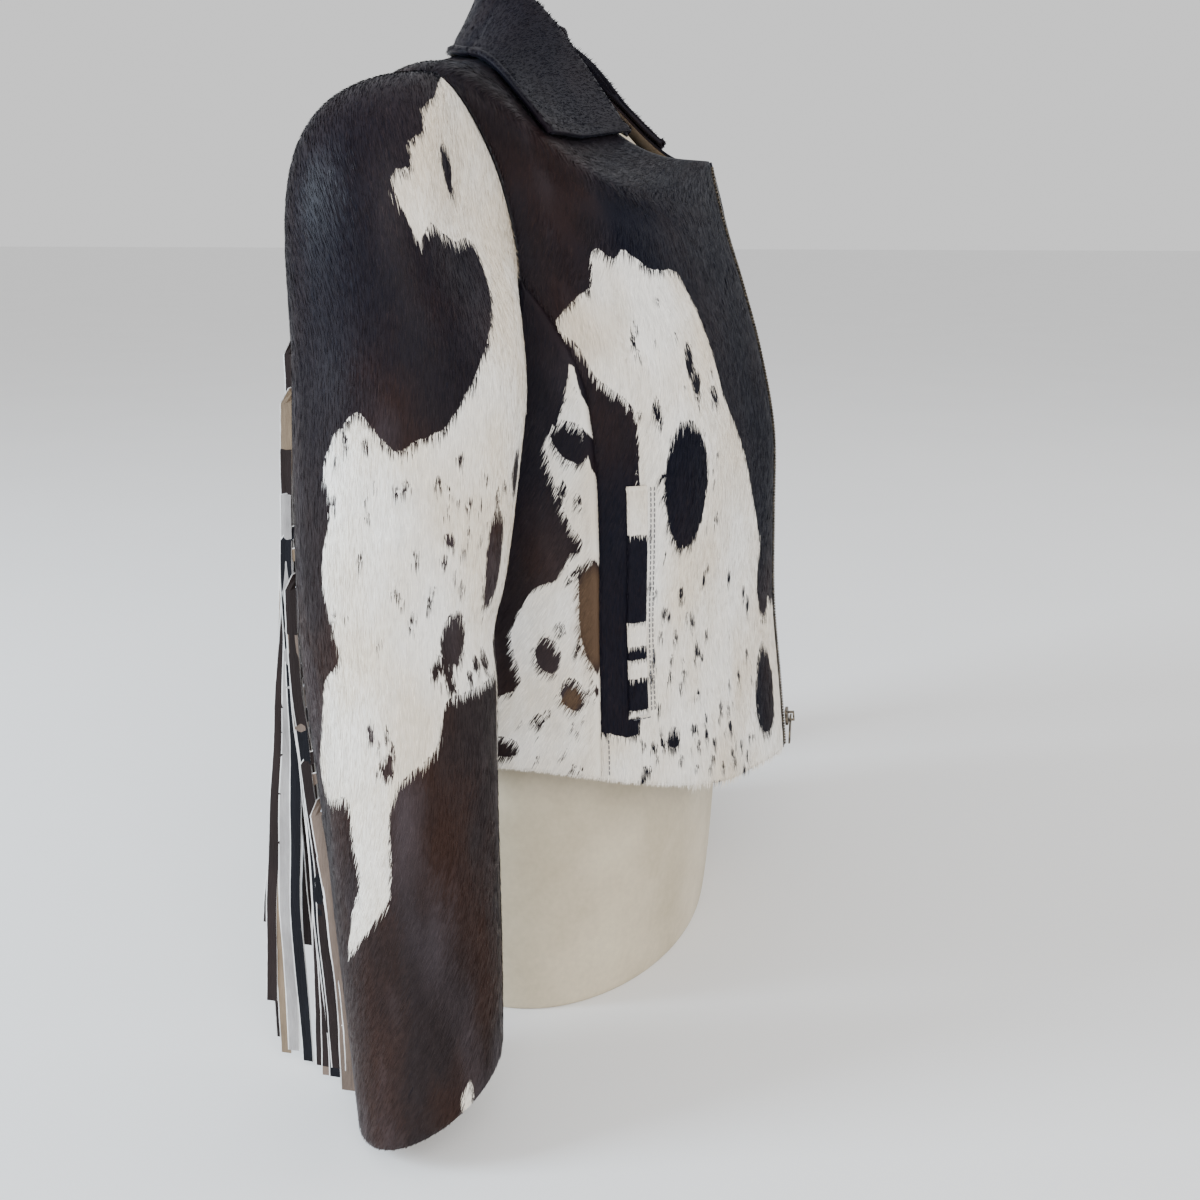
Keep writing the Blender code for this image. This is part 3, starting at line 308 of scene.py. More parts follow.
# Panels whose patch borders wander more: those that the photograph doesn't show
WANDERING = (
    "front_left", "side_panel_left", "top_sleeve_left", "under_sleeve_left", "under_sleeve_right", "back",
)
WANDER_WAVES, WANDER_SHARE = (0.048, 0.027, 0.016, 0.009), 0.055

# Steps between two corners of a patch's outline, and how round the corners are
PATCH_STEPS, PATCH_ROUNDNESS = 5, 0.35

# Dark spots: panel, degrees, row or place along the sleeve, half width and half height in metres, lean
DARK_SPOTS = (
    ("front_right", 42.2, 3.66, 0.0168, 0.0385, 4),
    ("front_right", 36.8, 5.15, 0.0030, 0.0120, 8),
    ("front_right", 35.8, 4.88, 0.0040, 0.0085, 4),
    ("front_right", 30.3, 4.66, 0.0030, 0.0060, 8),
    ("front_right", 48.6, 4.60, 0.0026, 0.0085, 6),
    ("front_right", 51.0, 5.45, 0.0020, 0.0060, 4),
    ("front_right", 8.0, 2.35, 0.0085, 0.0240, 0),
    ("front_right", 9.6, 1.02, 0.0105, 0.0300, 0),
    ("front_right", 46.2, 0.80, 0.0052, 0.0085, 6),
    ("side_panel_right", 70.0, 4.22, 0.0115, 0.0165, -14),
    ("side_panel_right", 64.6, 3.98, 0.0050, 0.0140, -10),
    ("side_panel_right", 71.2, 3.02, 0.0058, 0.0075, -30),
    ("side_panel_right", 77.3, 1.74, 0.0085, 0.0100, -30),
    ("side_panel_right", 71.4, 1.33, 0.0080, 0.0095, -20),
    ("side_panel_right", 79.4, 0.98, 0.0040, 0.0055, -20),
    ("side_panel_right", 88.2, 0.46, 0.0120, 0.0110, 0),
    ("side_panel_right", 74.0, 2.05, 0.0020, 0.0042, -30),
    ("side_panel_right", 66.0, 2.20, 0.0105, 0.0330, -4),
    ("top_sleeve_right", 28.8, 0.285, 0.0048, 0.0068, 12),
    ("top_sleeve_right", 33.0, 0.330, 0.0032, 0.0040, 12),
    ("top_sleeve_right", 76.0, 1.275, 0.0072, 0.0290, 2),
    ("top_sleeve_right", 92.0, 1.120, 0.0050, 0.0160, 0),
    ("top_sleeve_right", 51.0, 1.385, 0.0082, 0.0135, -8),
    ("top_sleeve_right", 9.5, 1.548, 0.0042, 0.0052, -20),
    ("back", 172, 2.7, 0.0160, 0.0300, 10),
    ("back", 178, 3.3, 0.0110, 0.0160, -20),
    ("back", 192, 4.7, 0.0110, 0.0150, -12),
    ("back", 166, 4.7, 0.0060, 0.0100, 0),
    ("back", 207, 1.5, 0.0130, 0.0190, 6),
    ("back", 212, 1.1, 0.0080, 0.0120, 0),
    ("back", 153, 1.0, 0.0080, 0.0110, 0),
    ("back", 190, 0.6, 0.0060, 0.0080, 0),
    ("back", 253, 4.6, 0.0070, 0.0110, 0),
    ("front_left", 40.0, 3.6, 0.0120, 0.0220, 0),
    ("front_left", 48.0, 5.3, 0.0070, 0.0120, 0),
    ("front_left", 30.0, 0.5, 0.0080, 0.0130, 0),
    ("side_panel_left", 78.0, 1.3, 0.0100, 0.0160, 0),
    ("top_sleeve_left", 66.0, 0.95, 0.0110, 0.0260, 0),
    ("top_sleeve_left", 52.0, 1.42, 0.0080, 0.0150, 0),
)

# Specks: how far from its middle a speck is looked for, in metres, its width as a share of its
# area's largest, and its length as a multiple of its width
SPECK_REACH, SPECK_WIDTHS, SPECK_LENGTHS = 0.02, (0.45, 1.0), (1.3, 2.4)

# Areas of small dark specks: panel, from and to degrees, from and to row or place, how many,
# largest half width
SPECK_AREAS = (
    ("front_right", 14, 52, 0.5, 2.6, 44, 0.0021),
    ("front_right", 14, 56, -0.1, 0.9, 32, 0.0027),
    ("front_right", 28, 54, 2.6, 6.0, 40, 0.0015),
    ("side_panel_right", 64, 92, 0.1, 2.0, 24, 0.0018),
    ("side_panel_right", 65, 76, 2.2, 3.9, 9, 0.0026),
    ("top_sleeve_right", -20, 80, 1.12, 1.44, 46, 0.0017),
    ("top_sleeve_right", 38, 84, 1.415, 1.450, 16, 0.0028),
    ("top_sleeve_right", 0, 20, 1.50, 1.56, 5, 0.0022),
    ("back", 140, 220, 0.2, 5.8, 90, 0.0024),
    ("front_left", 0, 66, 0.0, 1.2, 34, 0.0024),
    ("top_sleeve_left", 20, 90, 0.6, 1.5, 30, 0.0020),
    ("side_panel_left", 64, 92, 0.1, 2.0, 20, 0.0020),
)

# Tan or beige tints: panel, degrees, row or place, half width, half height, lean, strength
TAN_AREAS = (
    ("front_right", 60.0, 5.68, 0.0240, 0.0190, 10, 0.55),
    ("front_right", 34.0, 6.20, 0.0100, 0.0080, 0, 0.25),
    ("side_panel_right", 66.0, 2.20, 0.0140, 0.0380, -4, 1.0),
    ("side_panel_right", 71.4, 1.30, 0.0080, 0.0090, 0, 1.0),
    ("side_panel_right", 77.3, 1.72, 0.0080, 0.0090, 0, 0.5),
    ("side_panel_right", 66.0, 3.40, 0.0060, 0.0300, 0, 0.45),
    ("top_sleeve_right", 20.0, 0.38, 0.0150, 0.0260, 0, 0.30),
)

# White bands up a pocket's welt, from and to heights
WELT_WHITE_BANDS = {
    "pocket_welt_right": ((0.3200, 0.3520), (0.2500, 0.2650), (0.2300, 0.2415), (0.2040, 0.2100)),
    "pocket_welt_left": ((0.2040, 0.2460), (0.3240, 0.3330)),
}

# Stitches
STITCH_LENGTH, STITCH_PITCH, STITCH_WIDTH, STITCH_LIFT = 0.0023, 0.0033, 0.0006, 0.0010
STITCH_ASIDE_DEG, PRINCESS_STITCH_DEG = 0.9, 1.6
STITCH_CROWN, STITCH_THICKNESS, STITCHES_BELOW_WELT = 0.0002, 0.0004, 0.002
PRINCESS_STITCH_ROWS = (0.05, 0.85)

# Seam allowance in the armhole's seam
ARMHOLE_SEAM_POINTS, ARMHOLE_SEAM_SIDES = 180, 6
ARMHOLE_SEAM_RADIUS, ARMHOLE_SEAM_DEPTH = 0.0016, 0.0006

# Fringe: which side of each strip shows, and the colours of both
STRIP_FINISH = (
    "dark", "dark", "tan", "black", "dark", "dark", "grey", "dark", "black", "tan",
    "dark", "black", "taupe", "dark", "dark", "taupe", "black", "grey", "dark", "taupe",
    "taupe", "grey", "taupe", "suede", "taupe", "suede", "grey", "suede", "suede", "taupe",
)
STRIP_RIM = (1.0, 0.0, 0.7, 1.0, 0.0, 1.0)
STRIP_COLOURS = {
    "dark": (0.0170, 0.0110, 0.0105, 1.0),
    "black": (0.0050, 0.0050, 0.0075, 1.0),
    "tan": (0.190, 0.140, 0.095, 1.0),
    "taupe": (0.150, 0.112, 0.090, 1.0),
    "grey": (0.300, 0.285, 0.280, 1.0),
    "suede": (0.590, 0.620, 0.680, 1.0),
    "edge": (0.700, 0.690, 0.680, 1.0),
}

# Colours of the hide
BLACK = (0.0024, 0.0031, 0.0088, 1.0)
BROWN = (0.0215, 0.0150, 0.0150, 1.0)
RED_BROWN = (0.0300, 0.0150, 0.0115, 1.0)
# A greyish colour painted on the brown hair in broad patches: a painted sheen, not a colour of the hide.
PAINTED_SHEEN_GREY = (0.0620, 0.0500, 0.0560, 1.0)
WHITE = (0.850, 0.825, 0.780, 1.0)
CREAM = (0.730, 0.640, 0.510, 1.0)
TAN = (0.085, 0.052, 0.032, 1.0)
BEIGE = (0.500, 0.390, 0.270, 1.0)
SHEEN = (0.600, 0.760, 1.000, 1.0)

# Colours of the other materials
FLESH, WORN_FLESH = (0.200, 0.150, 0.120, 1.0), (0.300, 0.240, 0.200, 1.0)
FORM_PAINT, FORM_CLOUDS = (0.600, 0.520, 0.380, 1.0), (0.420, 0.350, 0.240, 1.0)
METAL_DARK, METAL_WORN = (0.035, 0.030, 0.026, 1.0), (0.240, 0.200, 0.150, 1.0)
TAPE_COLOUR, THREAD_COLOUR = (0.012, 0.011, 0.014, 1.0), (0.100, 0.100, 0.110, 1.0)
FLOOR_COLOUR, FLOOR_HALF = (0.860, 0.860, 0.860, 1.0), 30.0

# Lights: name, place, size, power, colour. All of them aim at the middle of the jacket.
LIGHT_AIM, WORLD_STRENGTH = (0.0, 0.0, 0.34), 0.95
LIGHTS = (
    ("window", (-1.3, 2.1, 1.3), (0.9, 1.1), 100.0, (0.74, 0.87, 1.0)),
    ("key", (-2.3, -0.9, 1.7), (1.8, 1.8), 46.0, (1.0, 0.98, 0.95)),
    ("fill", (0.9, -2.4, 1.5), (2.0, 1.6), 22.0, (1.0, 1.0, 1.0)),
)

# Camera, as fitted to the photograph
CAMERA_PLACE = (-0.920, -0.235, 0.5005)
CAMERA_HEADING, CAMERA_DOWN = 12.775, 15.532
CAMERA_LENS, SENSOR, CAMERA_CLIP = 40.37, 36.0, (0.01, 100.0)


def smooth(t):
    """0 below 0, 1 above 1, and an even rise between."""
    t = np.clip(t, 0.0, 1.0)
    return t * t * (3.0 - 2.0 * t)


def unit(vectors):
    """The vectors at length 1."""
    return vectors / np.linalg.norm(vectors, axis=-1, keepdims=True)


def curve(t, start, end, leave, arrive):
    """A smooth curve from start to end, by its run at both."""
    return (
        (2 * t**3 - 3 * t**2 + 1) * start
        + (t**3 - 2 * t**2 + t) * leave
        + (3 * t**2 - 2 * t**3) * end
        + (t**3 - t**2) * arrive
    )


def between(at, places, vectors):
    """The vector at a place on a line, from those at its points."""
    return np.array([np.interp(at, places, vectors[:, k]) for k in range(3)])


def sided(points, left):
    """Points made for the right side, mirrored where the left side's are wanted."""
    return points * np.array([-1.0, 1.0, 1.0]) if left else points


def section(rows, at):
    """The numbers of a table of sections at rows between its rows, on a smooth curve."""
    values = np.array([row[1:] for row in rows], float)
    last = len(values) - 1
    at = np.clip(np.asarray(at, float), 0.0, last)
    low = np.minimum(at.astype(int), last - 1)
    t = (at - low)[..., None]
    ends = np.vstack([2 * values[0] - values[1], values, 2 * values[-1] - values[-2]])
    before, start, end, after = ends[low], ends[low + 1], ends[low + 2], ends[low + 3]
    return curve(t, start, end, (end - before) / 2, (after - start) / 2)


def fold_depth(folds, deg, z):
    """How deep the folds press in at these angles and heights."""
    depth = np.zeros(np.broadcast(deg, z).shape)
    for _, middle, fold_z, length, width, lean, most in folds:
        along = (z - fold_z) / length
        across = ((deg - middle - lean * (z - fold_z) + 180.0) % 360.0 - 180.0) / width
        depth += most * np.exp(-along * along - across * across)
    return depth


def ring_point(values, deg):
    """The points of rings at angles from centre front, towards the wearer's right."""
    z_front, z_side, z_back, half_width, front, back, y_side, lift, ridge = np.moveaxis(values, -1, 0)
    angle = np.radians(deg)
    sine, cosine = np.sin(angle), np.cos(angle)
    x = -half_width * sine
    y_front = y_side - (front - ridge + y_side) * cosine - ridge * np.exp(-((x / RIDGE_WIDTH) ** 2))
    y_back = y_side - (back - y_side) * cosine
    z_end = np.where(cosine >= 0, z_front, z_back)
    z = z_end + (z_side - z_end) * np.abs(sine) ** lift
    return np.stack([x, np.where(cosine >= 0, y_front, y_back), z], -1)


def plain_body(deg, row):
    """The jacket's outer surface without its folds."""
    deg, row = np.broadcast_arrays(np.asarray(deg, float), np.asarray(row, float))
    point = ring_point(section(BODY_SECTIONS, row), deg)
    across = (np.minimum(deg % 360.0, 360.0 - deg % 360.0) - BUST_ANGLE) / BUST_ANGLE_SPREAD
    rise = BUST_RISE * np.exp(-(across**2) - ((row - BUST_ROW) / BUST_ROW_SPREAD) ** 2)
    outward = unit(point * LEVEL)
    return point + outward * rise[..., None]


def normal_of(surface, u, v, u_step, v_step):
    """The outward normal of a surface whose u runs to the wearer's right and whose v runs up."""
    along = surface(u + u_step, v) - surface(u - u_step, v)
    up = surface(u, v + v_step) - surface(u, v - v_step)
    return unit(np.cross(up, along))


def body_normal(deg, row):
    """The outward normal of the jacket's body."""
    return normal_of(plain_body, deg, np.clip(row, 0.05, NECK_ROW - 0.05), 0.5, 0.05)


def body(deg, row):
    """The jacket's outer surface, with its folds."""
    point = plain_body(deg, row)
    depth = fold_depth(BODY_FOLDS, np.where(deg <= 180.0, deg, 360.0 - deg), point[..., 2])
    depth = depth * smooth((SHOULDER_ROW - row) / 1.5)
    return point - body_normal(deg, row) * depth[..., None]


def armhole(deg):
    """Degrees round the body and row at angles round the armhole: 0 on top, 90 in front."""
    angle = np.radians(deg)
    reach = np.where(np.sin(angle) >= 0, ARMHOLE_FRONT_DEG, ARMHOLE_BACK_DEG)
    return 90.0 - reach * np.sin(angle), ARMHOLE_ROW + ARMHOLE_HALF_ROWS * np.cos(angle)


def armhole_reach(row):
    """The sine of the armhole's angle at rows."""
    share = (row - ARMHOLE_ROW) / ARMHOLE_HALF_ROWS
    return np.sqrt(np.maximum(0.0, 1.0 - share * share))


def side_seam_angle():
    """The angle round the armhole where the side seam meets it."""
    return 180.0 + math.degrees(math.asin((SIDE_SEAM_DEG - 90.0) / ARMHOLE_BACK_DEG))


def princess(row):
    """Degrees of the princess seam at rows."""
    top_deg, top_row = armhole(SLEEVE_FRONT_SEAM_DEG)
    share = (row - PRINCESS_BEND_ROW) / (top_row - PRINCESS_BEND_ROW)
    return PRINCESS_DEG + (top_deg - PRINCESS_DEG) * np.maximum(0.0, share) ** 1.8


def front_edge(row):
    """Degrees of the front's outer edge: the princess seam, the armhole, the shoulder seam."""
    at_armhole = 90.0 - ARMHOLE_FRONT_DEG * armhole_reach(row)
    below = np.where(row <= armhole(SLEEVE_FRONT_SEAM_DEG)[1], princess(np.minimum(row, 6.2)), at_armhole)
    return np.where(row >= SHOULDER_ROW, 90.0, below)


def back_edge(row):
    """Degrees of the back's outer edge: the side seam, the armhole, the shoulder seam."""
    at_armhole = 90.0 + ARMHOLE_BACK_DEG * armhole_reach(row)
    below = np.where(row <= armhole(side_seam_angle())[1], SIDE_SEAM_DEG, at_armhole)
    return np.where(row >= SHOULDER_ROW, 90.0, below)


def tube_point(deg, row):
    """The right sleeve's tube at angles: 0 outward, 90 in front. Row 0 is the cap's base."""
    z, x, y, half_width, half_depth, tilt, pitch = np.moveaxis(section(SLEEVE_SECTIONS, row), -1, 0)
    angle = np.radians(deg)
    return np.stack([
        -x - half_width * np.cos(angle),
        y - half_depth * np.sin(angle),
        z + tilt * np.cos(angle) + pitch * np.sin(angle),
    ], -1)


def armhole_edge(deg):
    """Points of the body at angles round the armhole, with normals taken wide of its edge."""
    around, row = armhole(deg)
    return plain_body(around, row), normal_of(plain_body, around, row, 9.0, 0.45)


def cap_point(deg, share):
    """The sleeve's cap, from the armhole at share 0 to the tube at share 1."""
    edge, normal = armhole_edge(deg)
    into = plain_body(90.0, ARMHOLE_ROW) - edge
    into = unit(into - normal * np.sum(into * normal, -1, keepdims=True))
    start = edge + into * SOLE_GAP
    end = tube_point(deg, 0.0)
    reach = np.linalg.norm(end - start, axis=-1, keepdims=True)
    top = np.maximum(0.0, np.cos(np.radians(deg)))[..., None]
    behind = np.maximum(0.0, np.cos(np.radians(deg - CAP_BACK_DEG)))[..., None] ** 3
    fullness = CAP_FULLNESS + CAP_TOP_FULLNESS * top + CAP_BACK_FULLNESS * behind
    plain = unit(normal + into * (0.15 + 0.85 * top))
    bulge = unit(normal * 0.45 + np.array([-0.60, 0.14, 0.0]))
    leave = unit(plain * (1.0 - behind) + bulge * behind) * reach * fullness
    arrive = unit(tube_point(deg, 0.4) - end) * reach * 0.95
    return curve(np.asarray(share, float)[..., None], start, end, leave, arrive)


def plain_sleeve(deg, along):
    """The sleeve's outer surface without folds: along runs 0 to 1 over the cap, then 1 to 2."""
    deg, along = np.broadcast_arrays(np.asarray(deg, float), np.asarray(along, float))
    cap = cap_point(deg, np.clip(along, 0.0, 1.0))
    tube = tube_point(deg, (np.clip(along, 1.0, 2.0) - 1.0) * (len(SLEEVE_SECTIONS) - 1))
    return np.where((along <= 1.0)[..., None], cap, tube)


def sleeve_normal(deg, along):
    """The outward normal of the sleeve."""
    along = np.clip(along, 0.02, 1.98)
    return normal_of(lambda u, v: plain_sleeve(-u, 2.0 - v), -deg, 2.0 - along, 1.0, 0.02)


def sleeve(deg, along):
    """The sleeve's outer surface, with its folds."""
    point = plain_sleeve(deg, along)
    depth = fold_depth(SLEEVE_FOLDS, deg, point[..., 2]) * smooth(along / 0.5)
    return point - sleeve_normal(deg, along) * depth[..., None]


def row_at(deg, z):
    """The rows of the body at heights, at angles from centre front."""
    low, high = np.zeros(np.shape(z)), np.full(np.shape(z), SHOULDER_ROW)
    for _ in range(24):
        middle = (low + high) / 2
        below = plain_body(deg, middle)[..., 2] < z
        low, high = np.where(below, middle, low), np.where(below, high, middle)
    return (low + high) / 2


def arc_lengths(points, axis):
    """How far each point of a grid is along its row or column, from the first one, in metres."""
    steps = np.linalg.norm(np.diff(points, axis=axis), axis=-1)
    start = np.zeros_like(np.take(steps, [0], axis=axis))
    return np.cumsum(np.concatenate([start, steps], axis=axis), axis=axis)


def cell_areas(points):
    """The areas of a grid's cells."""
    diagonals = np.cross(points[1:, 1:] - points[:-1, :-1], points[1:, :-1] - points[:-1, 1:])
    return np.linalg.norm(diagonals, axis=-1) / 2


def grid_normals(points):
    """Outward unit normals of a grid whose rows run up and whose columns run to the right from outside."""
    return unit(np.cross(np.gradient(points, axis=0), np.gradient(points, axis=1)))


class Panel:
    """One cut piece of hide: its outer points, its own coordinates, and how its hair and colours lie."""

    def __init__(self, name, points, across, up, left=False):
        if left:
            points = sided(points, left)[:, ::-1]
            across, up = across[:, ::-1], up[:, ::-1]
        self.name, self.left = name, left
        self.points, self.across, self.up = points, across, up
        self.normals = grid_normals(points)
        self.from_first = arc_lengths(points, 1)
        self.from_last = self.from_first[:, -1:] - self.from_first
        self.from_bottom = arc_lengths(points, 0)
        self.from_top = self.from_bottom[-1:] - self.from_bottom
        self.inner = points - self.normals * HIDE
        self.fields = {}

    def coat_of(self, across, up):
        """How far inside white hair each place is, and how tan it is."""
        if "welt" in self.name:
            return welt_coat(self.name, across, up)
        return coat(self.name, across, up)

    def sink(self, distance, depth, width):
        """Presses the outer side in near a line, by how far each point is from it."""
        self.points = self.points - self.normals * (depth * np.exp(-((distance / width) ** 2)))[..., None]

    def press_edges(self, *seams):
        """Presses the hide in along the seams given and, as a turned edge, along its bottom."""
        for seam in seams:
            self.sink(seam, SEAM_DEPTH, SEAM_WIDTH)
        self.sink(self.from_bottom, EDGE_DEPTH, EDGE_WIDTH)

    def cut(self):
        """Width, length and area of the flat piece, in metres."""
        area = float(cell_areas(self.points).sum())
        return float(self.from_first[:, -1].max()), float(self.from_bottom[-1].max()), area


def front_panel(name, left):
    """A front, from the zip to the princess seam, armhole and shoulder seam."""
    row = np.linspace(0.0, NECK_ROW, FRONT_ROWS)[:, None]
    place = np.linspace(0.0, 1.0, FRONT_PLACES)[None, :]
    half_width = section(BODY_SECTIONS, row)[..., 3]
    start = np.degrees(np.arcsin(ZIP_HALF_WIDTH / half_width))
    deg = start + (front_edge(row) - start) * place
    row = row + 0.0 * place
    panel = Panel(name, body(deg, row), deg * BODY_DEG, row * BODY_ROW, left)
    seam, free = (panel.from_first, panel.from_last) if left else (panel.from_last, panel.from_first)
    panel.sink(seam, SEAM_DEPTH, SEAM_WIDTH)
    panel.sink(free, EDGE_DEPTH, EDGE_WIDTH)
    panel.press_edges()
    pieced = (panel.across / BODY_DEG - POCKET_SEAM_DEG) * BODY_DEG
    low, high = POCKET_SEAM_ROWS
    shown = smooth((panel.up / BODY_ROW - low) / 0.2) * smooth((high - panel.up / BODY_ROW) / 0.6)
    panel.sink(np.where(shown > 0.01, pieced, 1.0), SEAM_DEPTH * 0.6, SEAM_WIDTH * 0.7)
    return panel


def side_panel(name, left):
    """A side panel, from the princess seam to the side seam, under the armhole."""
    share = np.linspace(0.0, 1.0, SIDE_ROWS)[:, None]
    place = np.linspace(0.0, 1.0, SIDE_PLACES)[None, :]
    angle = SLEEVE_FRONT_SEAM_DEG + (side_seam_angle() - SLEEVE_FRONT_SEAM_DEG) * place
    top_deg, top_row = armhole(angle)
    top_left = princess(top_row)
    top_place = (top_deg - top_left) / (SIDE_SEAM_DEG - top_left)
    row = top_row * share
    first = princess(row)
    deg = first + (SIDE_SEAM_DEG - first) * (place + (top_place - place) * smooth(share))
    panel = Panel(name, body(deg, row), deg * BODY_DEG, row * BODY_ROW, left)
    panel.press_edges(panel.from_first, panel.from_last)
    return panel


def back_panel(name):
    """The whole back, between the side seams, armholes, shoulder seams and neckline."""
    row = np.linspace(0.0, NECK_ROW, BACK_ROWS)[:, None]
    place = np.linspace(0.0, 1.0, BACK_PLACES)[None, :]
    start = back_edge(row)
    deg = start + (360.0 - 2 * start) * place
    row = row + 0.0 * place
    panel = Panel(name, body(deg, row), deg * BODY_DEG, row * BODY_ROW)
    panel.press_edges(panel.from_first, panel.from_last)
    return panel


def sleeve_length(along):
    """How far down the sleeve a place lies, in metres: 0 at the armhole."""
    return np.where(along <= 1.0, along * CAP_LENGTH, CAP_LENGTH + (along - 1.0) * TUBE_LENGTH)


def sleeve_panel(name, first, last, places, left):
    """A part of a sleeve between two seams, from the cuff up to the armhole."""
    tube = np.linspace(2.0, 1.0, TUBE_PLACES)[:-1]
    cap = np.linspace(1.0, 0.0, CAP_PLACES)
    along = np.concatenate([tube, cap])[:, None]
    deg = np.linspace(last, first, places)[None, :]
    deg, along = np.broadcast_arrays(deg, along)
    panel = Panel(name, sleeve(deg, along), deg * SLEEVE_DEG, -sleeve_length(along), left)
    panel.press_edges(panel.from_first, panel.from_last, panel.from_top)
    return panel


def curve_through(points, steps):
    """A closed smooth curve through corner points, as many steps from each to the next."""
    points = np.array(points, float)
    t = (np.arange(steps) / steps)[None, :, None]
    before, start = np.roll(points, 1, 0)[:, None], points[:, None]
    end, after = np.roll(points, -1, 0)[:, None], np.roll(points, -2, 0)[:, None]
    leave, arrive = (end - before) * PATCH_ROUNDNESS, (after - start) * PATCH_ROUNDNESS
    return curve(t, start, end, leave, arrive).reshape(-1, 2)


def inside_by(a, b, outline):
    """How far inside a closed outline each place is, in metres; negative outside."""
    start, end = outline, np.roll(outline, -1, 0)
    nearest = np.full(a.shape, 1e9)
    odd = np.zeros(a.shape, bool)
    for (a0, b0), (a1, b1) in zip(start, end):
        run_a, run_b = a1 - a0, b1 - b0
        share = np.clip(((a - a0) * run_a + (b - b0) * run_b) / (run_a**2 + run_b**2 + 1e-12), 0.0, 1.0)
        nearest = np.minimum(nearest, np.hypot(a - a0 - share * run_a, b - b0 - share * run_b))
        if b0 != b1:
            crosses = (b0 > b) != (b1 > b)
            odd ^= crosses & (a < run_a * (b - b0) / run_b + a0)
    return np.where(odd, nearest, -nearest)


def oval_by(a, b, middle_a, middle_b, half_a, half_b, lean=0.0):
    """How far inside an oval each place is, in metres; negative outside."""
    turn = math.radians(lean)
    x = (a - middle_a) * math.cos(turn) + (b - middle_b) * math.sin(turn)
    y = (b - middle_b) * math.cos(turn) - (a - middle_a) * math.sin(turn)
    return (1.0 - np.hypot(x / half_a, y / half_b)) * min(half_a, half_b)


def place_of(name, deg, at):
    """A place of a panel's tables in the panel's own coordinates, in metres."""
    if "sleeve" in name:
        return deg * SLEEVE_DEG, -float(sleeve_length(np.array(at)))
    return deg * BODY_DEG, at * BODY_ROW


def coat(name, across, up):
    """How far inside white hair each place of a panel is, and how tan it is."""
    white = np.full(across.shape, NO_WHITE)
    for panel, outline in WHITE_PATCHES:
        if panel == name:
            outline = curve_through([place_of(name, *point) for point in outline], PATCH_STEPS)
            white = np.maximum(white, inside_by(across, up, outline))
    if name in WANDERING:
        white = white + wander(across, up, len(name) + ord(name[-1]))
    for panel, deg, at, half_a, half_b, lean in DARK_SPOTS:
        if panel == name:
            white = np.minimum(white, -oval_by(across, up, *place_of(name, deg, at), half_a, half_b, lean))
    for a, b, half_a, half_b in specks(name):
        near = (np.abs(across - a) < SPECK_REACH) & (np.abs(up - b) < SPECK_REACH)
        white[near] = np.minimum(white[near], -oval_by(across[near], up[near], a, b, half_a, half_b))
    tan = np.zeros(across.shape)
    for panel, deg, at, half_a, half_b, lean, strength in TAN_AREAS:
        if panel == name:
            inside = oval_by(across, up, *place_of(name, deg, at), half_a, half_b, lean) / min(half_a, half_b)
            tan = np.maximum(tan, strength * smooth(inside * 1.6 + 0.3))
    return white, tan


def wander(across, up, seed):
    """Small bends of a patch's border, in metres, where the photograph doesn't show the panel."""
    draw = np.random.default_rng(seed)
    bend = np.zeros(across.shape)
    for wavelength in WANDER_WAVES:
        for _ in range(3):
            turn, phase = draw.uniform(0.0, math.pi), draw.uniform(0.0, 2 * math.pi)
            run = across * math.cos(turn) + up * math.sin(turn)
            bend += wavelength * WANDER_SHARE * np.sin(run * 2 * math.pi / wavelength + phase)
    return bend


def specks(name):
    """Small dark specks of a panel: places and half sizes in metres."""
    made = []
    for index, (panel, deg_low, deg_high, low, high, count, size) in enumerate(SPECK_AREAS):
        draw = np.random.default_rng(100 + index)
        for _ in range(count if panel == name else 0):
            place = place_of(name, draw.uniform(deg_low, deg_high), draw.uniform(low, high))
            half = size * draw.uniform(*SPECK_WIDTHS)
            made.append((*place, half, half * draw.uniform(*SPECK_LENGTHS)))
    return made


def placed(name, data):
    """An object in the scene."""
    made = bpy.data.objects.new(name, data)
    bpy.context.scene.collection.objects.link(made)
    return made


def mesh_object(name, vertices, faces, materials, face_materials=None, smooth_faces=True):
    """A mesh object in the scene."""
    mesh = bpy.data.meshes.new(name)
    mesh.from_pydata(vertices.tolist(), [], faces.tolist() if isinstance(faces, np.ndarray) else faces)
    for material in materials:
        mesh.materials.append(material)
    if face_materials is not None:
        mesh.polygons.foreach_set("material_index", np.asarray(face_materials, np.int32))
    mesh.polygons.foreach_set("use_smooth", np.full(len(mesh.polygons), smooth_faces))
    mesh.update()
    return placed(name, mesh)


def give(made, **values):
    """Stores a number or a vector for each vertex under each name, for the materials to read."""
    for name, numbers in values.items():
        numbers = np.asarray(numbers, np.float32)
        kind, field = ("FLOAT_VECTOR", "vector") if numbers.ndim == 2 else ("FLOAT", "value")
        made.data.attributes.new(name, kind, "POINT").data.foreach_set(field, numbers.ravel())


def grid_faces(rows, columns, offset=0, outward=True):
    """Quads of a grid of points."""
    a = (np.arange(rows - 1)[:, None] * columns + np.arange(columns - 1)[None, :]).ravel() + offset
    quads = np.stack([a, a + columns, a + columns + 1, a + 1], -1)
    return quads if outward else quads[:, ::-1]


def rim_faces(rows, columns):
    """Quads that close a shell's edge between its outer grid and an inner one of the same size."""
    index = np.arange(rows * columns).reshape(rows, columns)
    loop = np.concatenate([index[0, :-1], index[:-1, -1], index[-1, :0:-1], index[:0:-1, 0]])
    after = np.roll(loop, -1)
    inner = rows * columns
    return np.stack([loop, after, after + inner, loop + inner], -1)


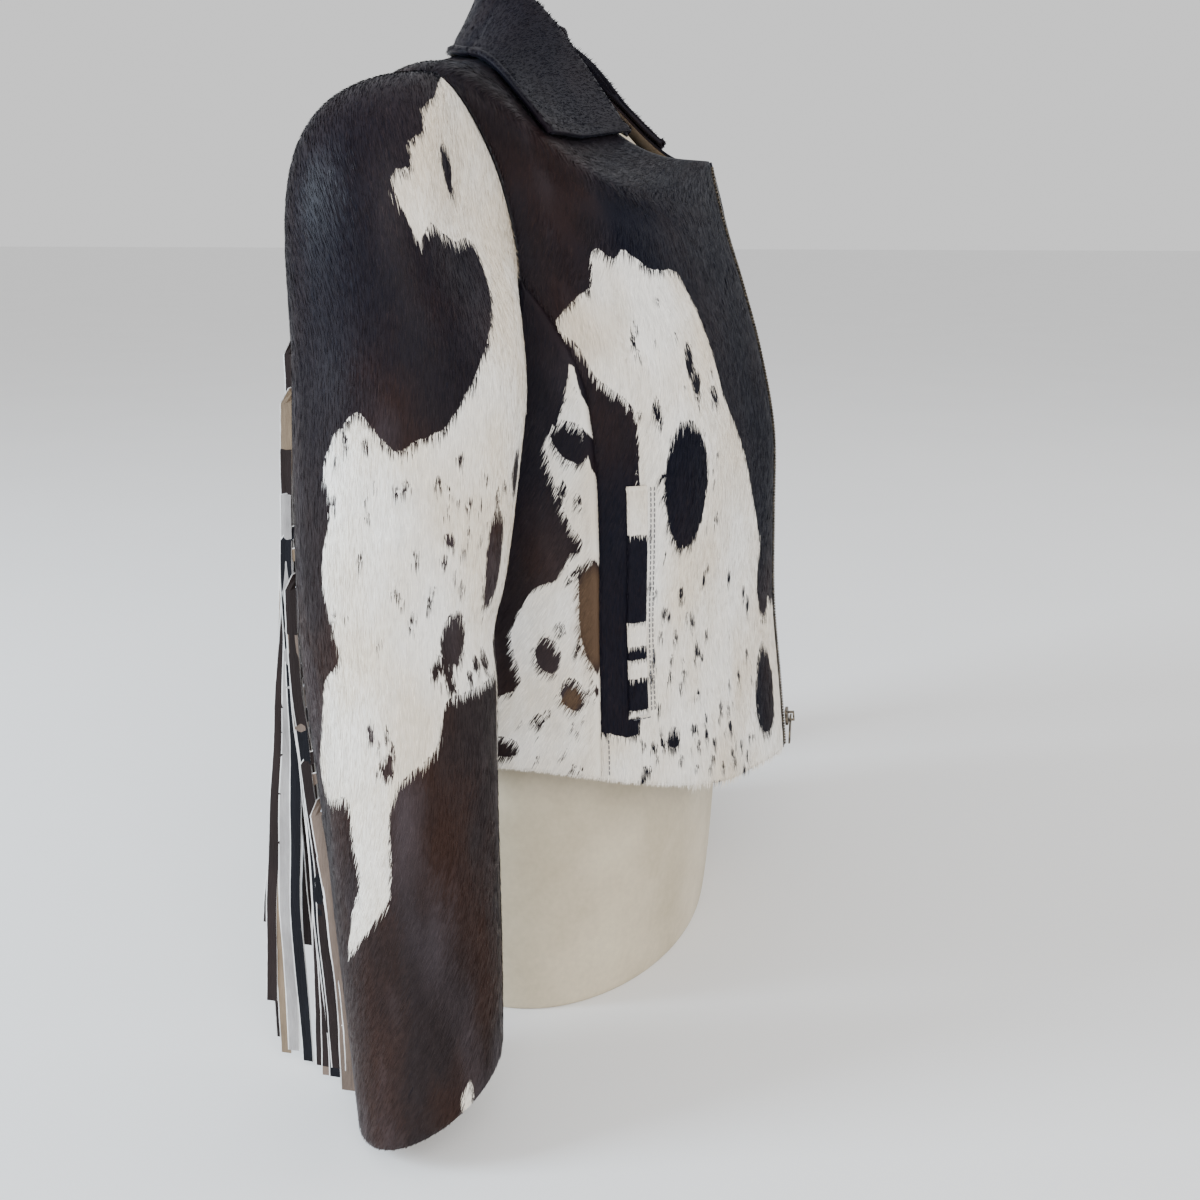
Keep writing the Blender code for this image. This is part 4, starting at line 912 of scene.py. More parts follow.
def tube_faces(rings, around, first=0, closed=False):
    """Faces of a tube of rings of points, with capped ends, or joined end to end where it is closed."""
    faces = []
    for i in range(rings if closed else rings - 1):
        low, high = first + i * around, first + (i + 1) % rings * around
        for k in range(around):
            after = (k + 1) % around
            faces.append((low + k, low + after, high + after, high + k))
    if not closed:
        last = first + (rings - 1) * around
        faces.append(tuple(range(first, first + around))[::-1])
        faces.append(tuple(range(last, last + around)))
    return faces


def hide_shell(panel, materials):
    """A panel as a closed sheet of hide: its hair side and turned edges, and its flesh side."""
    rows, columns = panel.points.shape[:2]
    vertices = np.concatenate([panel.points.reshape(-1, 3), panel.inner.reshape(-1, 3)])
    outer, rim = grid_faces(rows, columns), rim_faces(rows, columns)
    inner = grid_faces(rows, columns, rows * columns, outward=False)
    kinds = np.concatenate([np.zeros(len(outer)), np.ones(len(inner)), np.zeros(len(rim))])
    made = mesh_object(panel.name + "_hide", vertices, np.concatenate([outer, inner, rim]), materials, kinds)
    give(made, **{name: np.tile(values.ravel(), 2) for name, values in panel.fields.items()})
    place = np.stack([panel.across, panel.up, np.zeros_like(panel.up)], -1).reshape(-1, 3)
    give(made, place=np.tile(place, (2, 1)), shade=np.full(len(vertices), SHELL_SHADE))
    return made


def lean_of(panel, across, up):
    """Degrees by which the hair leans from straight down towards the back of the jacket."""
    name = panel.name
    if "sleeve" in name:
        down = -up
        lean = -20.0 + 18.0 * smooth((down - 0.06) / 0.10) + 30.0 * smooth((down - 0.30) / 0.16)
        return lean + (8.0 if "under" in name else 0.0)
    deg, row = across / BODY_DEG, up / BODY_ROW
    if name == "back":
        return 10.0 * np.sin(np.radians(deg * 3.0)) + 6.0 * np.sin(row * 1.3)
    if name == "collar":
        return 12.0 + 0.0 * deg
    if "side" in name:
        return 34.0 - 10.0 * smooth((1.0 - row) / 1.0)
    return 4.0 + 24.0 * smooth((deg - 30.0) / 25.0) * smooth((row - 1.5) / 2.5)


def blend_of(grid, i, j, s, t):
    """Values of a grid between its points, at cells i, j and shares s, t."""
    if grid.ndim == 3:
        s, t = s[:, None], t[:, None]
    low = grid[i, j] * (1 - t) + grid[i, j + 1] * t
    high = grid[i + 1, j] * (1 - t) + grid[i + 1, j + 1] * t
    return low * (1 - s) + high * s


def hair_reach(panel, length, lean, across, room, below, draw):
    """How long each hair is: whole, or only as far as the panel's side or the overhang at its hem."""
    reach = length * draw.uniform(0.65, 1.25, len(lean))
    to_last, to_first = room
    sideways = np.sin(lean)
    aside = np.where(sideways > 0, to_last, to_first)
    reach = np.minimum(reach, (aside + 0.0004) / (np.abs(sideways) + 0.02))
    over = HAIR_OVERHANG + hem_lump(panel, across)
    reach = np.minimum(reach, below + over * draw.uniform(0.5, 1.0, len(lean)))
    return np.maximum(reach, SHORTEST_HAIR)


def blades(root, normal, flow, reach, length, draw):
    """The corners of the hairs, three for each: two at its root and one at its tip."""
    count = len(root)
    roll = draw.normal(0.0, ROLL_SPREAD, count)[:, None]
    wide = np.cross(flow, normal) * np.cos(roll) + normal * np.sin(roll)
    half = (HAIR_WIDTH / 2 * draw.uniform(0.7, 1.3, count))[:, None]
    lift = (HAIR_LIFT * draw.uniform(0.4, 1.2, count) * np.minimum(1.0, reach / length))[:, None]
    base = root - normal * HAIR_ROOT_DEPTH
    tip = root + flow * reach[:, None] + normal * lift
    return np.stack([base - wide * half, base + wide * half, tip], 1).reshape(-1, 3)


def blade_faces(corners, normal):
    """One face for each hair, turned to look away from the hide."""
    faces = np.arange(len(corners)).reshape(-1, 3)
    facing = np.cross(corners[1::3] - corners[::3], corners[2::3] - corners[::3])
    turned = np.sum(facing * normal, -1) < 0
    faces[turned] = faces[turned][:, ::-1]
    return faces


def hair(panel, material, density, length=HAIR_LENGTH):
    """The panel's hair: one narrow blade for each tuft, lying down the hide."""
    draw = np.random.default_rng(sum(map(ord, panel.name)))
    p = panel.points
    area = cell_areas(p).ravel()
    count = int(area.sum() * density)
    cell = draw.choice(len(area), count, p=area / area.sum())
    i, j = np.divmod(cell, p.shape[1] - 1)
    s, t = draw.random(count), draw.random(count)

    def here(grid):
        """A grid's values at the hairs' roots."""
        return blend_of(grid, i, j, s, t)

    normal, rise = unit(here(panel.normals)), unit(here(np.gradient(p, axis=0)))
    across, up = here(panel.across), here(panel.up)
    side = -1.0 if panel.left else 1.0
    lean = np.radians(lean_of(panel, across, up) * side + draw.normal(0.0, LEAN_SPREAD, count))
    flow = -rise * np.cos(lean)[:, None] + np.cross(normal, rise) * np.sin(lean)[:, None]
    room = here(panel.from_last), here(panel.from_first)
    reach = hair_reach(panel, length, lean, across, room, here(panel.from_bottom), draw)
    corners = blades(here(p), normal, flow, reach, length, draw)
    made = mesh_object(panel.name + "_hair", corners, blade_faces(corners, normal), [material])
    tilt = draw.normal(0.0, HAIR_SHEEN_TILT, (count, 1)) * np.cross(flow, normal)
    made.data.normals_split_custom_set_from_vertices(np.repeat(unit(normal + tilt), 3, axis=0))
    white, tan = panel.coat_of(across, up)
    white = white + draw.normal(0.0, WHITE_SPREAD, count)
    brown = panel.brown_of(across, up) + draw.normal(0.0, BROWN_SPREAD, count)
    shade = draw.random(count)
    place = np.stack([across, up, draw.random(count) * 0.01], -1)
    fields = {"white": white, "tan": tan, "brown": brown, "shade": shade, "place": place}
    give(made, **{name: np.repeat(values, 3, axis=0) for name, values in fields.items()})
    return made


def hem_lump(panel, across):
    """How far the turned hem's fur swells past the edge of a front, in rounded lumps."""
    if not panel.name.startswith("front"):
        return 0.0
    wave = np.abs(np.sin(math.pi * across / HEM_LUMP_PITCH)) ** 0.7
    return HEM_LUMP * wave * smooth((HEM_LUMPS_UP_TO_DEG - across / BODY_DEG) / 6.0)


def front_brown(across, up):
    """Where a front's dark hair is brown rather than black."""
    deg, row = across / BODY_DEG, up / BODY_ROW
    strip = smooth((deg - 48.0) / 8.0) * smooth((row - 3.3) / 1.2)
    edge = 0.45 * smooth((14.0 - deg) / 8.0) * smooth((3.0 - row) / 1.0)
    return np.maximum(strip * 0.40, edge)


def brown_down(least, gain, start, run):
    """Brown that grows down a panel: its least share and its gain, from a height over a distance."""
    return lambda across, up: least + gain * smooth((start - up) / run)


def collar_column(deg):
    """The collar's profile at an angle: up its stand, over its roll and down its leaf."""
    up = np.array([0.0, 0.0, 1.0])
    from_end = min(deg, 360.0 - deg) - COLLAR_END_DEG
    start, end, power = COLLAR_RISE_RIGHT if deg <= 180.0 else COLLAR_RISE_LEFT
    rise = min(1.0, max(0.0, from_end + COLLAR_END_DEG - start) / (end - start)) ** power
    stand = COLLAR_STAND_END + (COLLAR_STAND - COLLAR_STAND_END) * rise
    spread = max(0.0, 1.0 - from_end / COLLAR_POINT_SPAN_DEG)
    side = 1.0 if deg <= 180.0 else -1.0
    leaf_deg = deg + side * (COLLAR_POINT_DEG - COLLAR_END_DEG) * spread**1.3
    back = max(0.0, -math.cos(math.radians(deg))) ** 1.5
    leaf_row = COLLAR_LEAF_ROW_FRONT + (COLLAR_LEAF_ROW_BACK - COLLAR_LEAF_ROW_FRONT) * back
    leaf_row += (COLLAR_LEAF_ROW_POINT - COLLAR_LEAF_ROW_FRONT) * spread**1.4
    foot = plain_body(deg, NECK_ROW) + up * COLLAR_FOOT_GAP
    outward = unit(foot * LEVEL)
    lean = stand * COLLAR_STAND_LEAN
    roll = COLLAR_ROLL * rise
    shares = [i / (COLLAR_STAND_ROWS - 1) for i in range(COLLAR_STAND_ROWS)]
    profile = [foot + (up * (stand - roll * 0.6) - outward * lean) * share for share in shares]
    profile.append(foot + up * stand + outward * (roll * 0.5 - lean))
    for i in range(COLLAR_LEAF_ROWS):
        share = i / (COLLAR_LEAF_ROWS - 1)
        at_deg = deg + (leaf_deg - deg) * share**0.75
        at_row = NECK_ROW + (leaf_row - NECK_ROW) * share
        clear = COLLAR_THICKNESS + COLLAR_CLEAR + COLLAR_POINT_CLEAR * spread * share
        rest = plain_body(at_deg, at_row) + body_normal(at_deg, at_row) * clear
        lift = (stand - roll * 0.5) * (1.0 - share) ** 1.2
        profile.append(rest + up * lift + outward * (roll * 1.15 - lean) * (1.0 - share))
    return profile


def collar_panel():
    """The collar: a stand up from the neckline, a roll, and a leaf down to its edge."""
    count = COLLAR_PLACES
    span = 360.0 - 2 * COLLAR_END_DEG
    profile = np.stack([collar_column(COLLAR_END_DEG + span * j / (count - 1)) for j in range(count)], 1)
    profile = profile[::-1]
    at = np.linspace(0.0, len(profile) - 1, COLLAR_ROWS)
    rows = [(None, *profile[k].ravel()) for k in range(len(profile))]
    points = section(rows, at).reshape(COLLAR_ROWS, count, 3)
    places = np.linspace(COLLAR_END_DEG, 360.0 - COLLAR_END_DEG, count)[None, :]
    across, up_grid = np.broadcast_arrays(places * COLLAR_DEG, arc_lengths(points, 0))
    panel = Panel("collar", points, across, up_grid)
    panel.inner = points - panel.normals * COLLAR_THICKNESS
    for edge in (panel.from_bottom, panel.from_first, panel.from_last):
        ridge = np.exp(-(((edge - COLLAR_RIDGE_AT) / COLLAR_RIDGE_WIDTH) ** 2))
        groove = np.exp(-(((edge - COLLAR_GROOVE_AT) / COLLAR_GROOVE_WIDTH) ** 2))
        rise = COLLAR_EDGE_HEIGHT * (ridge - COLLAR_GROOVE_SHARE * groove)
        panel.points = panel.points + panel.normals * rise[..., None]
    return panel


def armhole_seam(name, left, material):
    """The dark seam allowance that shows down in the seam round an armhole."""
    edge, normal = armhole_edge(np.linspace(0.0, 360.0, ARMHOLE_SEAM_POINTS, endpoint=False))
    along = unit(np.roll(edge, -1, 0) - np.roll(edge, 1, 0))
    into = np.cross(normal, along)
    centre = edge - normal * (ARMHOLE_SEAM_DEPTH + ARMHOLE_SEAM_RADIUS) + into * SOLE_GAP / 2
    turns = np.radians(360.0 / ARMHOLE_SEAM_SIDES * np.arange(ARMHOLE_SEAM_SIDES))
    rings = [centre + (normal * math.cos(a) + into * math.sin(a)) * ARMHOLE_SEAM_RADIUS for a in turns]
    points = sided(np.stack(rings, 1).reshape(-1, 3), left)
    faces = tube_faces(ARMHOLE_SEAM_POINTS, ARMHOLE_SEAM_SIDES, closed=True)
    made = mesh_object(name, points, faces, [material])
    face_outward(made)
    return made


def welt_panel(name, left):
    """A pocket's welt: a narrow strip of hide that lies on the front."""
    deg = POCKET_DEG + WELT_HALF_DEG * np.linspace(-1.0, 1.0, WELT_PLACES)[None, :]
    z = np.linspace(POCKET_BOTTOM_Z, POCKET_TOP_Z, WELT_ROWS)[:, None]
    deg, z = np.broadcast_arrays(deg, z)
    row = row_at(deg, z)
    lifted = body(deg, row) + body_normal(deg, row) * (WELT_THICKNESS + SOLE_GAP)
    panel = Panel(name, lifted, (deg - POCKET_DEG) * BODY_DEG, z, left)
    panel.inner = panel.points - panel.normals * WELT_THICKNESS
    for edge in (panel.from_first, panel.from_last, panel.from_bottom, panel.from_top):
        panel.sink(edge, WELT_EDGE_DEPTH, WELT_EDGE_WIDTH)
    return panel


def welt_coat(name, across, up):
    """White and black bands up a welt, which has no tan."""
    white = np.full(up.shape, NO_WHITE)
    for low, high in WELT_WHITE_BANDS[name]:
        white = np.maximum(white, np.minimum(up - low, high - up))
    return white, np.zeros_like(across)


def stitch_row(deg, row):
    """Corners and faces of a row of stitches along places of a front."""
    points = body(deg, row) + body_normal(deg, row) * STITCH_LIFT
    normals = body_normal(deg, row)
    length = arc_lengths(points[:, None], 0)[:, 0]
    corners, faces = [], []
    for at in np.arange(STITCH_PITCH, length[-1] - STITCH_PITCH / 2, STITCH_PITCH):
        start = between(at - STITCH_LENGTH / 2, length, points)
        end = between(at + STITCH_LENGTH / 2, length, points)
        normal = unit(between(at, length, normals))
        along = unit(end - start)
        across = np.cross(normal, along) * STITCH_WIDTH / 2
        first = len(corners)
        for centre, rise in ((start, -STITCH_CROWN), ((start + end) / 2, STITCH_CROWN), (end, -STITCH_CROWN)):
            upper, lower = centre + normal * rise, centre + normal * (rise - STITCH_THICKNESS)
            corners += [upper - across, upper + across, lower + across, lower - across]
        faces += tube_faces(3, 4, first)
    return np.array(corners), faces


def stitching(name, left, material):
    """The visible stitches of a front: beside and below the welt, and up the princess seam's foot."""
    routes = []
    z = np.linspace(POCKET_BOTTOM_Z, POCKET_TOP_Z, 60)
    for aside in (1.0, 2.0):
        deg = np.full(z.shape, POCKET_DEG - WELT_HALF_DEG - aside * STITCH_ASIDE_DEG)
        routes.append((deg, row_at(deg, z)))
    deg = np.linspace(POCKET_DEG - WELT_HALF_DEG - 1.5 * STITCH_ASIDE_DEG, POCKET_DEG + WELT_HALF_DEG, 12)
    routes.append((deg, row_at(deg, np.full(deg.shape, POCKET_BOTTOM_Z - STITCHES_BELOW_WELT))))
    row = np.linspace(*PRINCESS_STITCH_ROWS, 40)
    routes.append((princess(row) - PRINCESS_STITCH_DEG, row))
    corners, faces = [], []
    for deg, row in routes:
        points, quads = stitch_row(deg, row)
        first = sum(len(block) for block in corners)
        corners.append(points)
        faces += [tuple(first + k for k in quad) for quad in quads]
    points = sided(np.concatenate(corners), left)
    made = mesh_object(name, points, faces, [material], smooth_faces=False)
    face_outward(made)
    return made


def seam_line():
    """Heights, points and flat outward directions down the back seam of the right sleeve."""
    along = np.linspace(2.0, 0.0, 400)
    deg = np.full(along.shape, SLEEVE_BACK_SEAM_DEG)
    points = sleeve(deg, along)
    flat = unit(sleeve_normal(deg, along) * LEVEL)
    keep = np.maximum.accumulate(points[:, 2]) <= points[:, 2] + 1e-9
    return points[keep, 2], points[keep], flat[keep]


def fringe_line(z):
    """The point of the right sleeve's back seam at a height, and its flat outward direction."""
    heights, points, flat = SEAM_LINE
    return between(z, heights, points), unit(between(z, heights, flat))


def strip_height(index):
    """The height of a strip's root, counted from the top one down."""
    return FRINGE_TOP_Z - (FRINGE_TOP_Z - FRINGE_BOTTOM_Z) * index / (STRIP_COUNT - 1)


def strip_offset(index, z):
    """How far behind the band's edge a strip hangs at a height."""
    group, place = divmod(index, GROUP_SIZE)
    low, high = GROUP_REACH[group]
    reach = low + (high - low) * STRIP_SHARE[place]
    top = strip_height(group * GROUP_SIZE)
    if group == GROUPS - 1:
        return STRIP_BEND + reach * float(smooth((top - z) / top))
    below = strip_height((group + 1) * GROUP_SIZE)
    step = GROUP_STEP * min(1.0, max(0.0, (top - z) / (top - below)))
    return STRIP_BEND + step + (reach - GROUP_STEP) * float(smooth((below - z) / below)) ** 0.8


def strip_path(index):
    """The middle of a strip from its root down, and how far its width has turned from level."""
    place = index % GROUP_SIZE
    root_z = strip_height(index)
    layer = (GROUP_SIZE / 2 - place // 2 - 0.5) * (1.0 if place % 2 else -1.0)
    seam, outward = fringe_line(root_z)
    hang_x = seam[0] + layer * LAYER_PITCH
    wanted = root_z - STRIP_LENGTH - STRIP_LENGTH_SPREAD * math.sin(index * 2.4)
    end_z = max(STRIP_END_Z + STRIP_END_STEP * (index % 4), wanted)

    def run(z):
        """The middle of the hanging strip at a height, with the small waves that all strips share."""
        here = fringe_line(max(z, 0.05))[0]
        drop = float(smooth((root_z - z) / 0.10))
        wave_x = sum(size * math.sin(z * pitch + phase) for size, pitch, phase in STRIP_WAVES)
        wave_y = STRIP_SWAY * math.sin(z * 23.0 + index * 0.7)
        return np.array([
            hang_x + (here[0] - seam[0]) * SEAM_FOLLOW + wave_x * drop,
            here[1] + BAND_GAP + BAND_DEPTH + strip_offset(index, z) + wave_y * drop,
            z,
        ])

    bend_end = run(root_z - STRIP_BEND - 0.003)
    start = seam + outward * (BAND_GAP + BAND_DEPTH)
    start[2] = root_z
    half_way = (start + bend_end) / 2 + np.array([0.0, 0.0008, 0.0016])
    half_way[0] = start[0] + (bend_end[0] - start[0]) * 0.5
    centres, turns = [start, half_way, bend_end], [0.0, 40.0, 90.0]
    for part in np.linspace(0.0, 1.0, STRIP_RINGS)[1:]:
        centres.append(run(bend_end[2] - (bend_end[2] - end_z) * part))
        turns.append(90.0)
    return np.array(centres), np.radians(turns)


def strip_mesh(index):
    """Rings of six points round one strip: hair side, edge, flesh side, edge."""
    centres, turns = strip_path(index)
    side = np.array([-1.0, 0.0, 0.0])
    half_t = STRIP_THICKNESS / 2 * STRIP_THINNED
    rings = []
    for k, (centre, turn) in enumerate(zip(centres, turns)):
        across = np.array([0.0, math.sin(turn), math.cos(turn)])
        share = k / (len(centres) - 1)
        half_w = STRIP_WIDTH / 2 * (1.0 - STRIP_EDGE_WAVE * math.sin(share * 19.0 + index))
        cup = STRIP_CUP * math.sin(share * 7.0 + index * 1.7)
        rings.append([
            centre + across * half_w + side * half_t,
            centre + side * (half_t - cup),
            centre - across * half_w + side * half_t,
            centre - across * half_w - side * half_t,
            centre - side * (half_t + cup),
            centre + across * half_w - side * half_t,
        ])
    return np.array(rings)


def fringe(name, left, material):
    """One sleeve's fringe: its band in the seam and every strip of it."""
    vertices, faces, colours = [], [], []
    used = 0
    for index, rings in enumerate([strip_mesh(index) for index in range(STRIP_COUNT)] + [band_mesh()]):
        count, around = rings.shape[:2]
        vertices.append(rings.reshape(-1, 3))
        faces += tube_faces(count, around, used)
        colours += [strip_colour(index, kind) for kind in list(range(around)) * (count - 1) + [2, 2]]
        used += count * around
    points = sided(np.concatenate(vertices), left)
    faces = [face if left else face[::-1] for face in faces]
    made = mesh_object(name, points, faces, [material], smooth_faces=False)
    corners = np.repeat(np.array(colours, np.float32), [len(face) for face in faces], axis=0)
    made.data.attributes.new("strip", "FLOAT_COLOR", "CORNER").data.foreach_set("color", corners.ravel())
    rim = np.tile(STRIP_RIM, STRIP_COUNT * (STRIP_RINGS + 2))
    give(made, rim=np.concatenate([rim, np.zeros(len(points) - len(rim))]))
    return made


def band_mesh():
    """Rings of the narrow band that the strips grow from."""
    rings = []
    side = np.array([-1.0, 0.0, 0.0])
    for z in np.linspace(FRINGE_TOP_Z + BAND_PAST_STRIPS, FRINGE_BOTTOM_Z - BAND_PAST_STRIPS, BAND_RINGS):
        seam, outward = fringe_line(z)
        inner = seam + outward * BAND_GAP
        outer = inner + outward * BAND_DEPTH
        half = side * STRIP_THICKNESS / 2
        row = (outer, (inner + outer) / 2, inner)
        rings.append([(p[0], p[1], z) for p in [q + half for q in row] + [q - half for q in row[::-1]]])
    return np.array(rings)


def strip_colour(strip, kind):
    """The colour of a strip's outer side, inner side or cut edge; the band is dark."""
    if strip >= STRIP_COUNT:
        return STRIP_COLOURS["dark"]
    if kind in (2, 5):
        return STRIP_COLOURS["edge"]
    finish = STRIP_FINISH[strip]
    if kind in (0, 1):
        return STRIP_COLOURS[finish]
    return STRIP_COLOURS["dark" if finish in ("suede", "grey") else "suede"]


class Nodes:
    """Short ways to add and join a material's nodes."""

    def __init__(self, name, roughness, metallic=0.0):
        self.material = bpy.data.materials.new(name)
        self.material.use_nodes = True
        self.tree = self.material.node_tree
        self.shader = self.tree.nodes["Principled BSDF"]
        self.shader.inputs["Roughness"].default_value = roughness
        self.shader.inputs["Metallic"].default_value = metallic

    def add(self, kind, **inputs):
        """A node with some of its inputs set or joined."""
        node = self.tree.nodes.new(kind)
        for name, value in inputs.items():
            self.set(node, name.replace("_", " "), value)
        return node

    def set(self, node, name, value):
        """Sets an input of a node, or joins an output to it."""
        socket = node.inputs[int(name)] if name.isdigit() else node.inputs[name]
        if isinstance(value, bpy.types.NodeSocket):
            self.tree.links.new(value, socket)
        else:
            socket.default_value = value

    def stored(self, name, output="Fac"):
        """A number, vector or colour stored in the mesh."""
        node = self.tree.nodes.new("ShaderNodeAttribute")
        node.attribute_name = name
        return node.outputs[output]

    def math(self, operation, first, second, third=0.0):
        """A sum, product or the like of numbers."""
        node = self.tree.nodes.new("ShaderNodeMath")
        node.operation = operation
        for index, value in enumerate((first, second, third)):
            self.set(node, str(index), value)
        return node.outputs[0]

    def scaled(self, vector, scale):
        """A vector stretched along each axis."""
        node = self.tree.nodes.new("ShaderNodeVectorMath")
        node.operation = "MULTIPLY"
        self.set(node, "0", vector)
        node.inputs[1].default_value = scale
        return node.outputs[0]

    def noise(self, vector, scale, detail=3.0, roughness=0.5):
        """A noise pattern from 0 to 1."""
        node = self.add("ShaderNodeTexNoise", Vector=vector, Scale=scale, Detail=detail, Roughness=roughness)
        return node.outputs["Fac"]

    def mapped(self, value, low, high, to_low=0.0, to_high=1.0):
        """A number moved from one range to another, and kept inside it."""
        node = self.tree.nodes.new("ShaderNodeMapRange")
        for index, number in enumerate((value, low, high, to_low, to_high)):
            self.set(node, str(index), number)
        return node.outputs[0]

    def mix(self, share, first, second):
        """A colour between two."""
        node = self.tree.nodes.new("ShaderNodeMix")
        node.data_type = "RGBA"
        for index, value in ((0, share), (6, first), (7, second)):
            self.set(node, str(index), value)
        return node.outputs[2]

    def tint(self, colour, value):
        """A colour made lighter or darker by a number."""
        node = self.tree.nodes.new("ShaderNodeVectorMath")
        node.operation = "SCALE"
        self.set(node, "0", colour if isinstance(colour, bpy.types.NodeSocket) else colour[:3])
        self.set(node, "Scale", value)
        return node.outputs[0]

    def bump(self, height, distance, strength=1.0):
        """Small relief."""
        node = self.add("ShaderNodeBump", Height=height, Distance=distance, Strength=strength)
        self.set(self.shader, "Normal", node.outputs[0])

    def colour(self, value):
        """The surface's colour."""
        self.set(self.shader, "Base Color", value)


def object_place(nodes):
    """Where a point of the surface is on its object."""
    return nodes.add("ShaderNodeTexCoord").outputs["Object"]


def hide_material():
    """Hair-on cowhide: white, black and brown hair whose colours meet in ragged tufts, with a greyish sheen
    painted on the brown.
    """
    n = Nodes("cowhide hair", 0.40)
    place = n.stored("place", "Vector")
    strands = n.noise(n.scaled(place, (1300.0, 110.0, 400.0)), 1.0, 3.0, 0.6)
    clumps = n.noise(n.scaled(place, (210.0, 42.0, 100.0)), 1.0, 2.0)
    soft = n.noise(n.scaled(place, (20.0, 11.0, 12.0)), 1.0, 3.0)
    inside = n.math("MULTIPLY", n.stored("white"), 1000.0)
    ragged = n.math("MULTIPLY_ADD", n.math("SUBTRACT", strands, 0.5), 2.4, inside)
    ragged = n.math("MULTIPLY_ADD", n.math("SUBTRACT", clumps, 0.5), 3.0, ragged)
    mask = n.mapped(ragged, -0.25, 0.25)
    brown = n.mapped(n.math("MULTIPLY_ADD", soft, 0.5, n.stored("brown")), 0.15, 1.15)
    brown_and_sheen = n.mix(n.mapped(soft, 0.42, 0.62), BROWN, RED_BROWN)
    # Painted sheen: broad patches of the brown hair turned greyish, a painted highlight of the nap's sheen.
    painted_sheen = n.noise(n.scaled(place, (26.0, 10.0, 12.0)), 1.0, 2.0)
    brown_and_sheen = n.mix(n.mapped(painted_sheen, 0.50, 0.72, 0.0, 0.65), brown_and_sheen, PAINTED_SHEEN_GREY)
    dark = n.mix(brown, BLACK, brown_and_sheen)
    dark = n.mix(n.mapped(n.stored("tan"), 0.6, 1.0), dark, TAN)
    pale = n.mix(n.mapped(soft, 0.36, 0.62, 0.0, 0.85), WHITE, CREAM)
    pale = n.mix(n.math("MULTIPLY", n.stored("tan"), 0.55), pale, BEIGE)
    colour = n.mix(mask, dark, pale)
    shade = n.math("MULTIPLY_ADD", n.stored("shade"), 0.32, 0.58)
    shade = n.math("MULTIPLY_ADD", strands, 0.34, shade)
    shade = n.math("MULTIPLY_ADD", clumps, 0.22, shade)
    n.colour(n.tint(colour, shade))
    n.set(n.shader, "Roughness", n.mapped(mask, 0.0, 1.0, 0.42, 0.60))
    n.set(n.shader, "Specular IOR Level", n.mapped(mask, 0.0, 1.0, 0.09, 0.30))
    n.shader.inputs["Sheen Weight"].default_value = 0.024
    n.shader.inputs["Sheen Roughness"].default_value = 0.30
    n.shader.inputs["Sheen Tint"].default_value = SHEEN
    n.bump(n.math("MULTIPLY_ADD", clumps, 0.6, strands), 0.0004, 0.6)
    return n.material


def flesh_material():
    """The hide's flesh side and cut edges: fine suede nap."""
    n = Nodes("suede flesh side", 0.92)
    place = object_place(n)
    nap = n.noise(place, 900.0, 4.0, 0.65)
    soft = n.noise(place, 40.0, 3.0)
    n.colour(n.tint(n.mix(soft, FLESH, WORN_FLESH), n.mapped(nap, 0.3, 0.7, 0.7, 1.2)))
    n.shader.inputs["Sheen Weight"].default_value = 0.25
    n.bump(nap, 0.0004, 0.8)
    return n.material


def strip_material():
    """Cut strips: hair or suede on their faces, pale cut edges."""
    n = Nodes("fringe strips", 0.72)
    place = object_place(n)
    nap = n.noise(n.scaled(place, (900.0, 900.0, 160.0)), 1.0, 4.0, 0.65)
    bands = n.noise(n.scaled(place, (60.0, 60.0, 26.0)), 1.0, 2.0)
    shade = n.math("MULTIPLY_ADD", nap, 0.55, n.mapped(bands, 0.35, 0.65, 0.55, 0.95))
    edge = n.mapped(n.math("MULTIPLY_ADD", nap, 0.10, n.stored("rim")), 0.84, 0.90)
    n.colour(n.tint(n.mix(edge, n.stored("strip", "Color"), STRIP_COLOURS["edge"]), shade))
    n.shader.inputs["Specular IOR Level"].default_value = 0.12
    n.shader.inputs["Sheen Weight"].default_value = 0.03
    n.bump(nap, 0.0004, 0.8)
    return n.material


def form_material():
    """The dress form's smooth cream shell, softly mottled."""
    n = Nodes("cream shell", 0.45)
    place = object_place(n)
    cloud = n.noise(place, 9.0, 4.0, 0.6)
    grain = n.noise(place, 260.0, 3.0)
    colour = n.mix(n.mapped(cloud, 0.35, 0.68), FORM_PAINT, FORM_CLOUDS)
    n.colour(n.tint(colour, n.mapped(grain, 0.3, 0.7, 0.94, 1.04)))
    n.set(n.shader, "Roughness", n.mapped(cloud, 0.3, 0.7, 0.38, 0.55))
    n.bump(n.math("MULTIPLY_ADD", grain, 0.15, cloud), 0.0010, 0.25)
    return n.material


def metal_material():
    """Dark antique metal, brighter where it is rubbed."""
    n = Nodes("dark zip metal", 0.34, 1.0)
    place = object_place(n)
    wear = n.noise(place, 700.0, 4.0)
    n.colour(n.mix(n.mapped(wear, 0.40, 0.65), METAL_DARK, METAL_WORN))
    n.set(n.shader, "Roughness", n.mapped(wear, 0.35, 0.65, 0.26, 0.50))
    n.bump(wear, 0.0001, 0.5)
    return n.material


def tape_material():
    """The zip's dark woven tape."""
    n = Nodes("zip tape", 0.85)
    place = object_place(n)
    weave = n.noise(n.scaled(place, (1500.0, 400.0, 2600.0)), 1.0, 2.0)
    n.colour(n.tint(TAPE_COLOUR, n.mapped(weave, 0.3, 0.7, 0.7, 1.6)))
    n.bump(weave, 0.0002, 0.8)
    return n.material


def thread_material():
    """Grey sewing thread, twisted."""
    n = Nodes("grey thread", 0.7)
    twist = n.noise(n.scaled(object_place(n), (2500.0, 2500.0, 1500.0)), 1.0, 2.0)
    n.colour(n.tint(THREAD_COLOUR, n.mapped(twist, 0.3, 0.7, 0.6, 1.4)))
    n.bump(twist, 0.0002, 0.6)
    return n.material


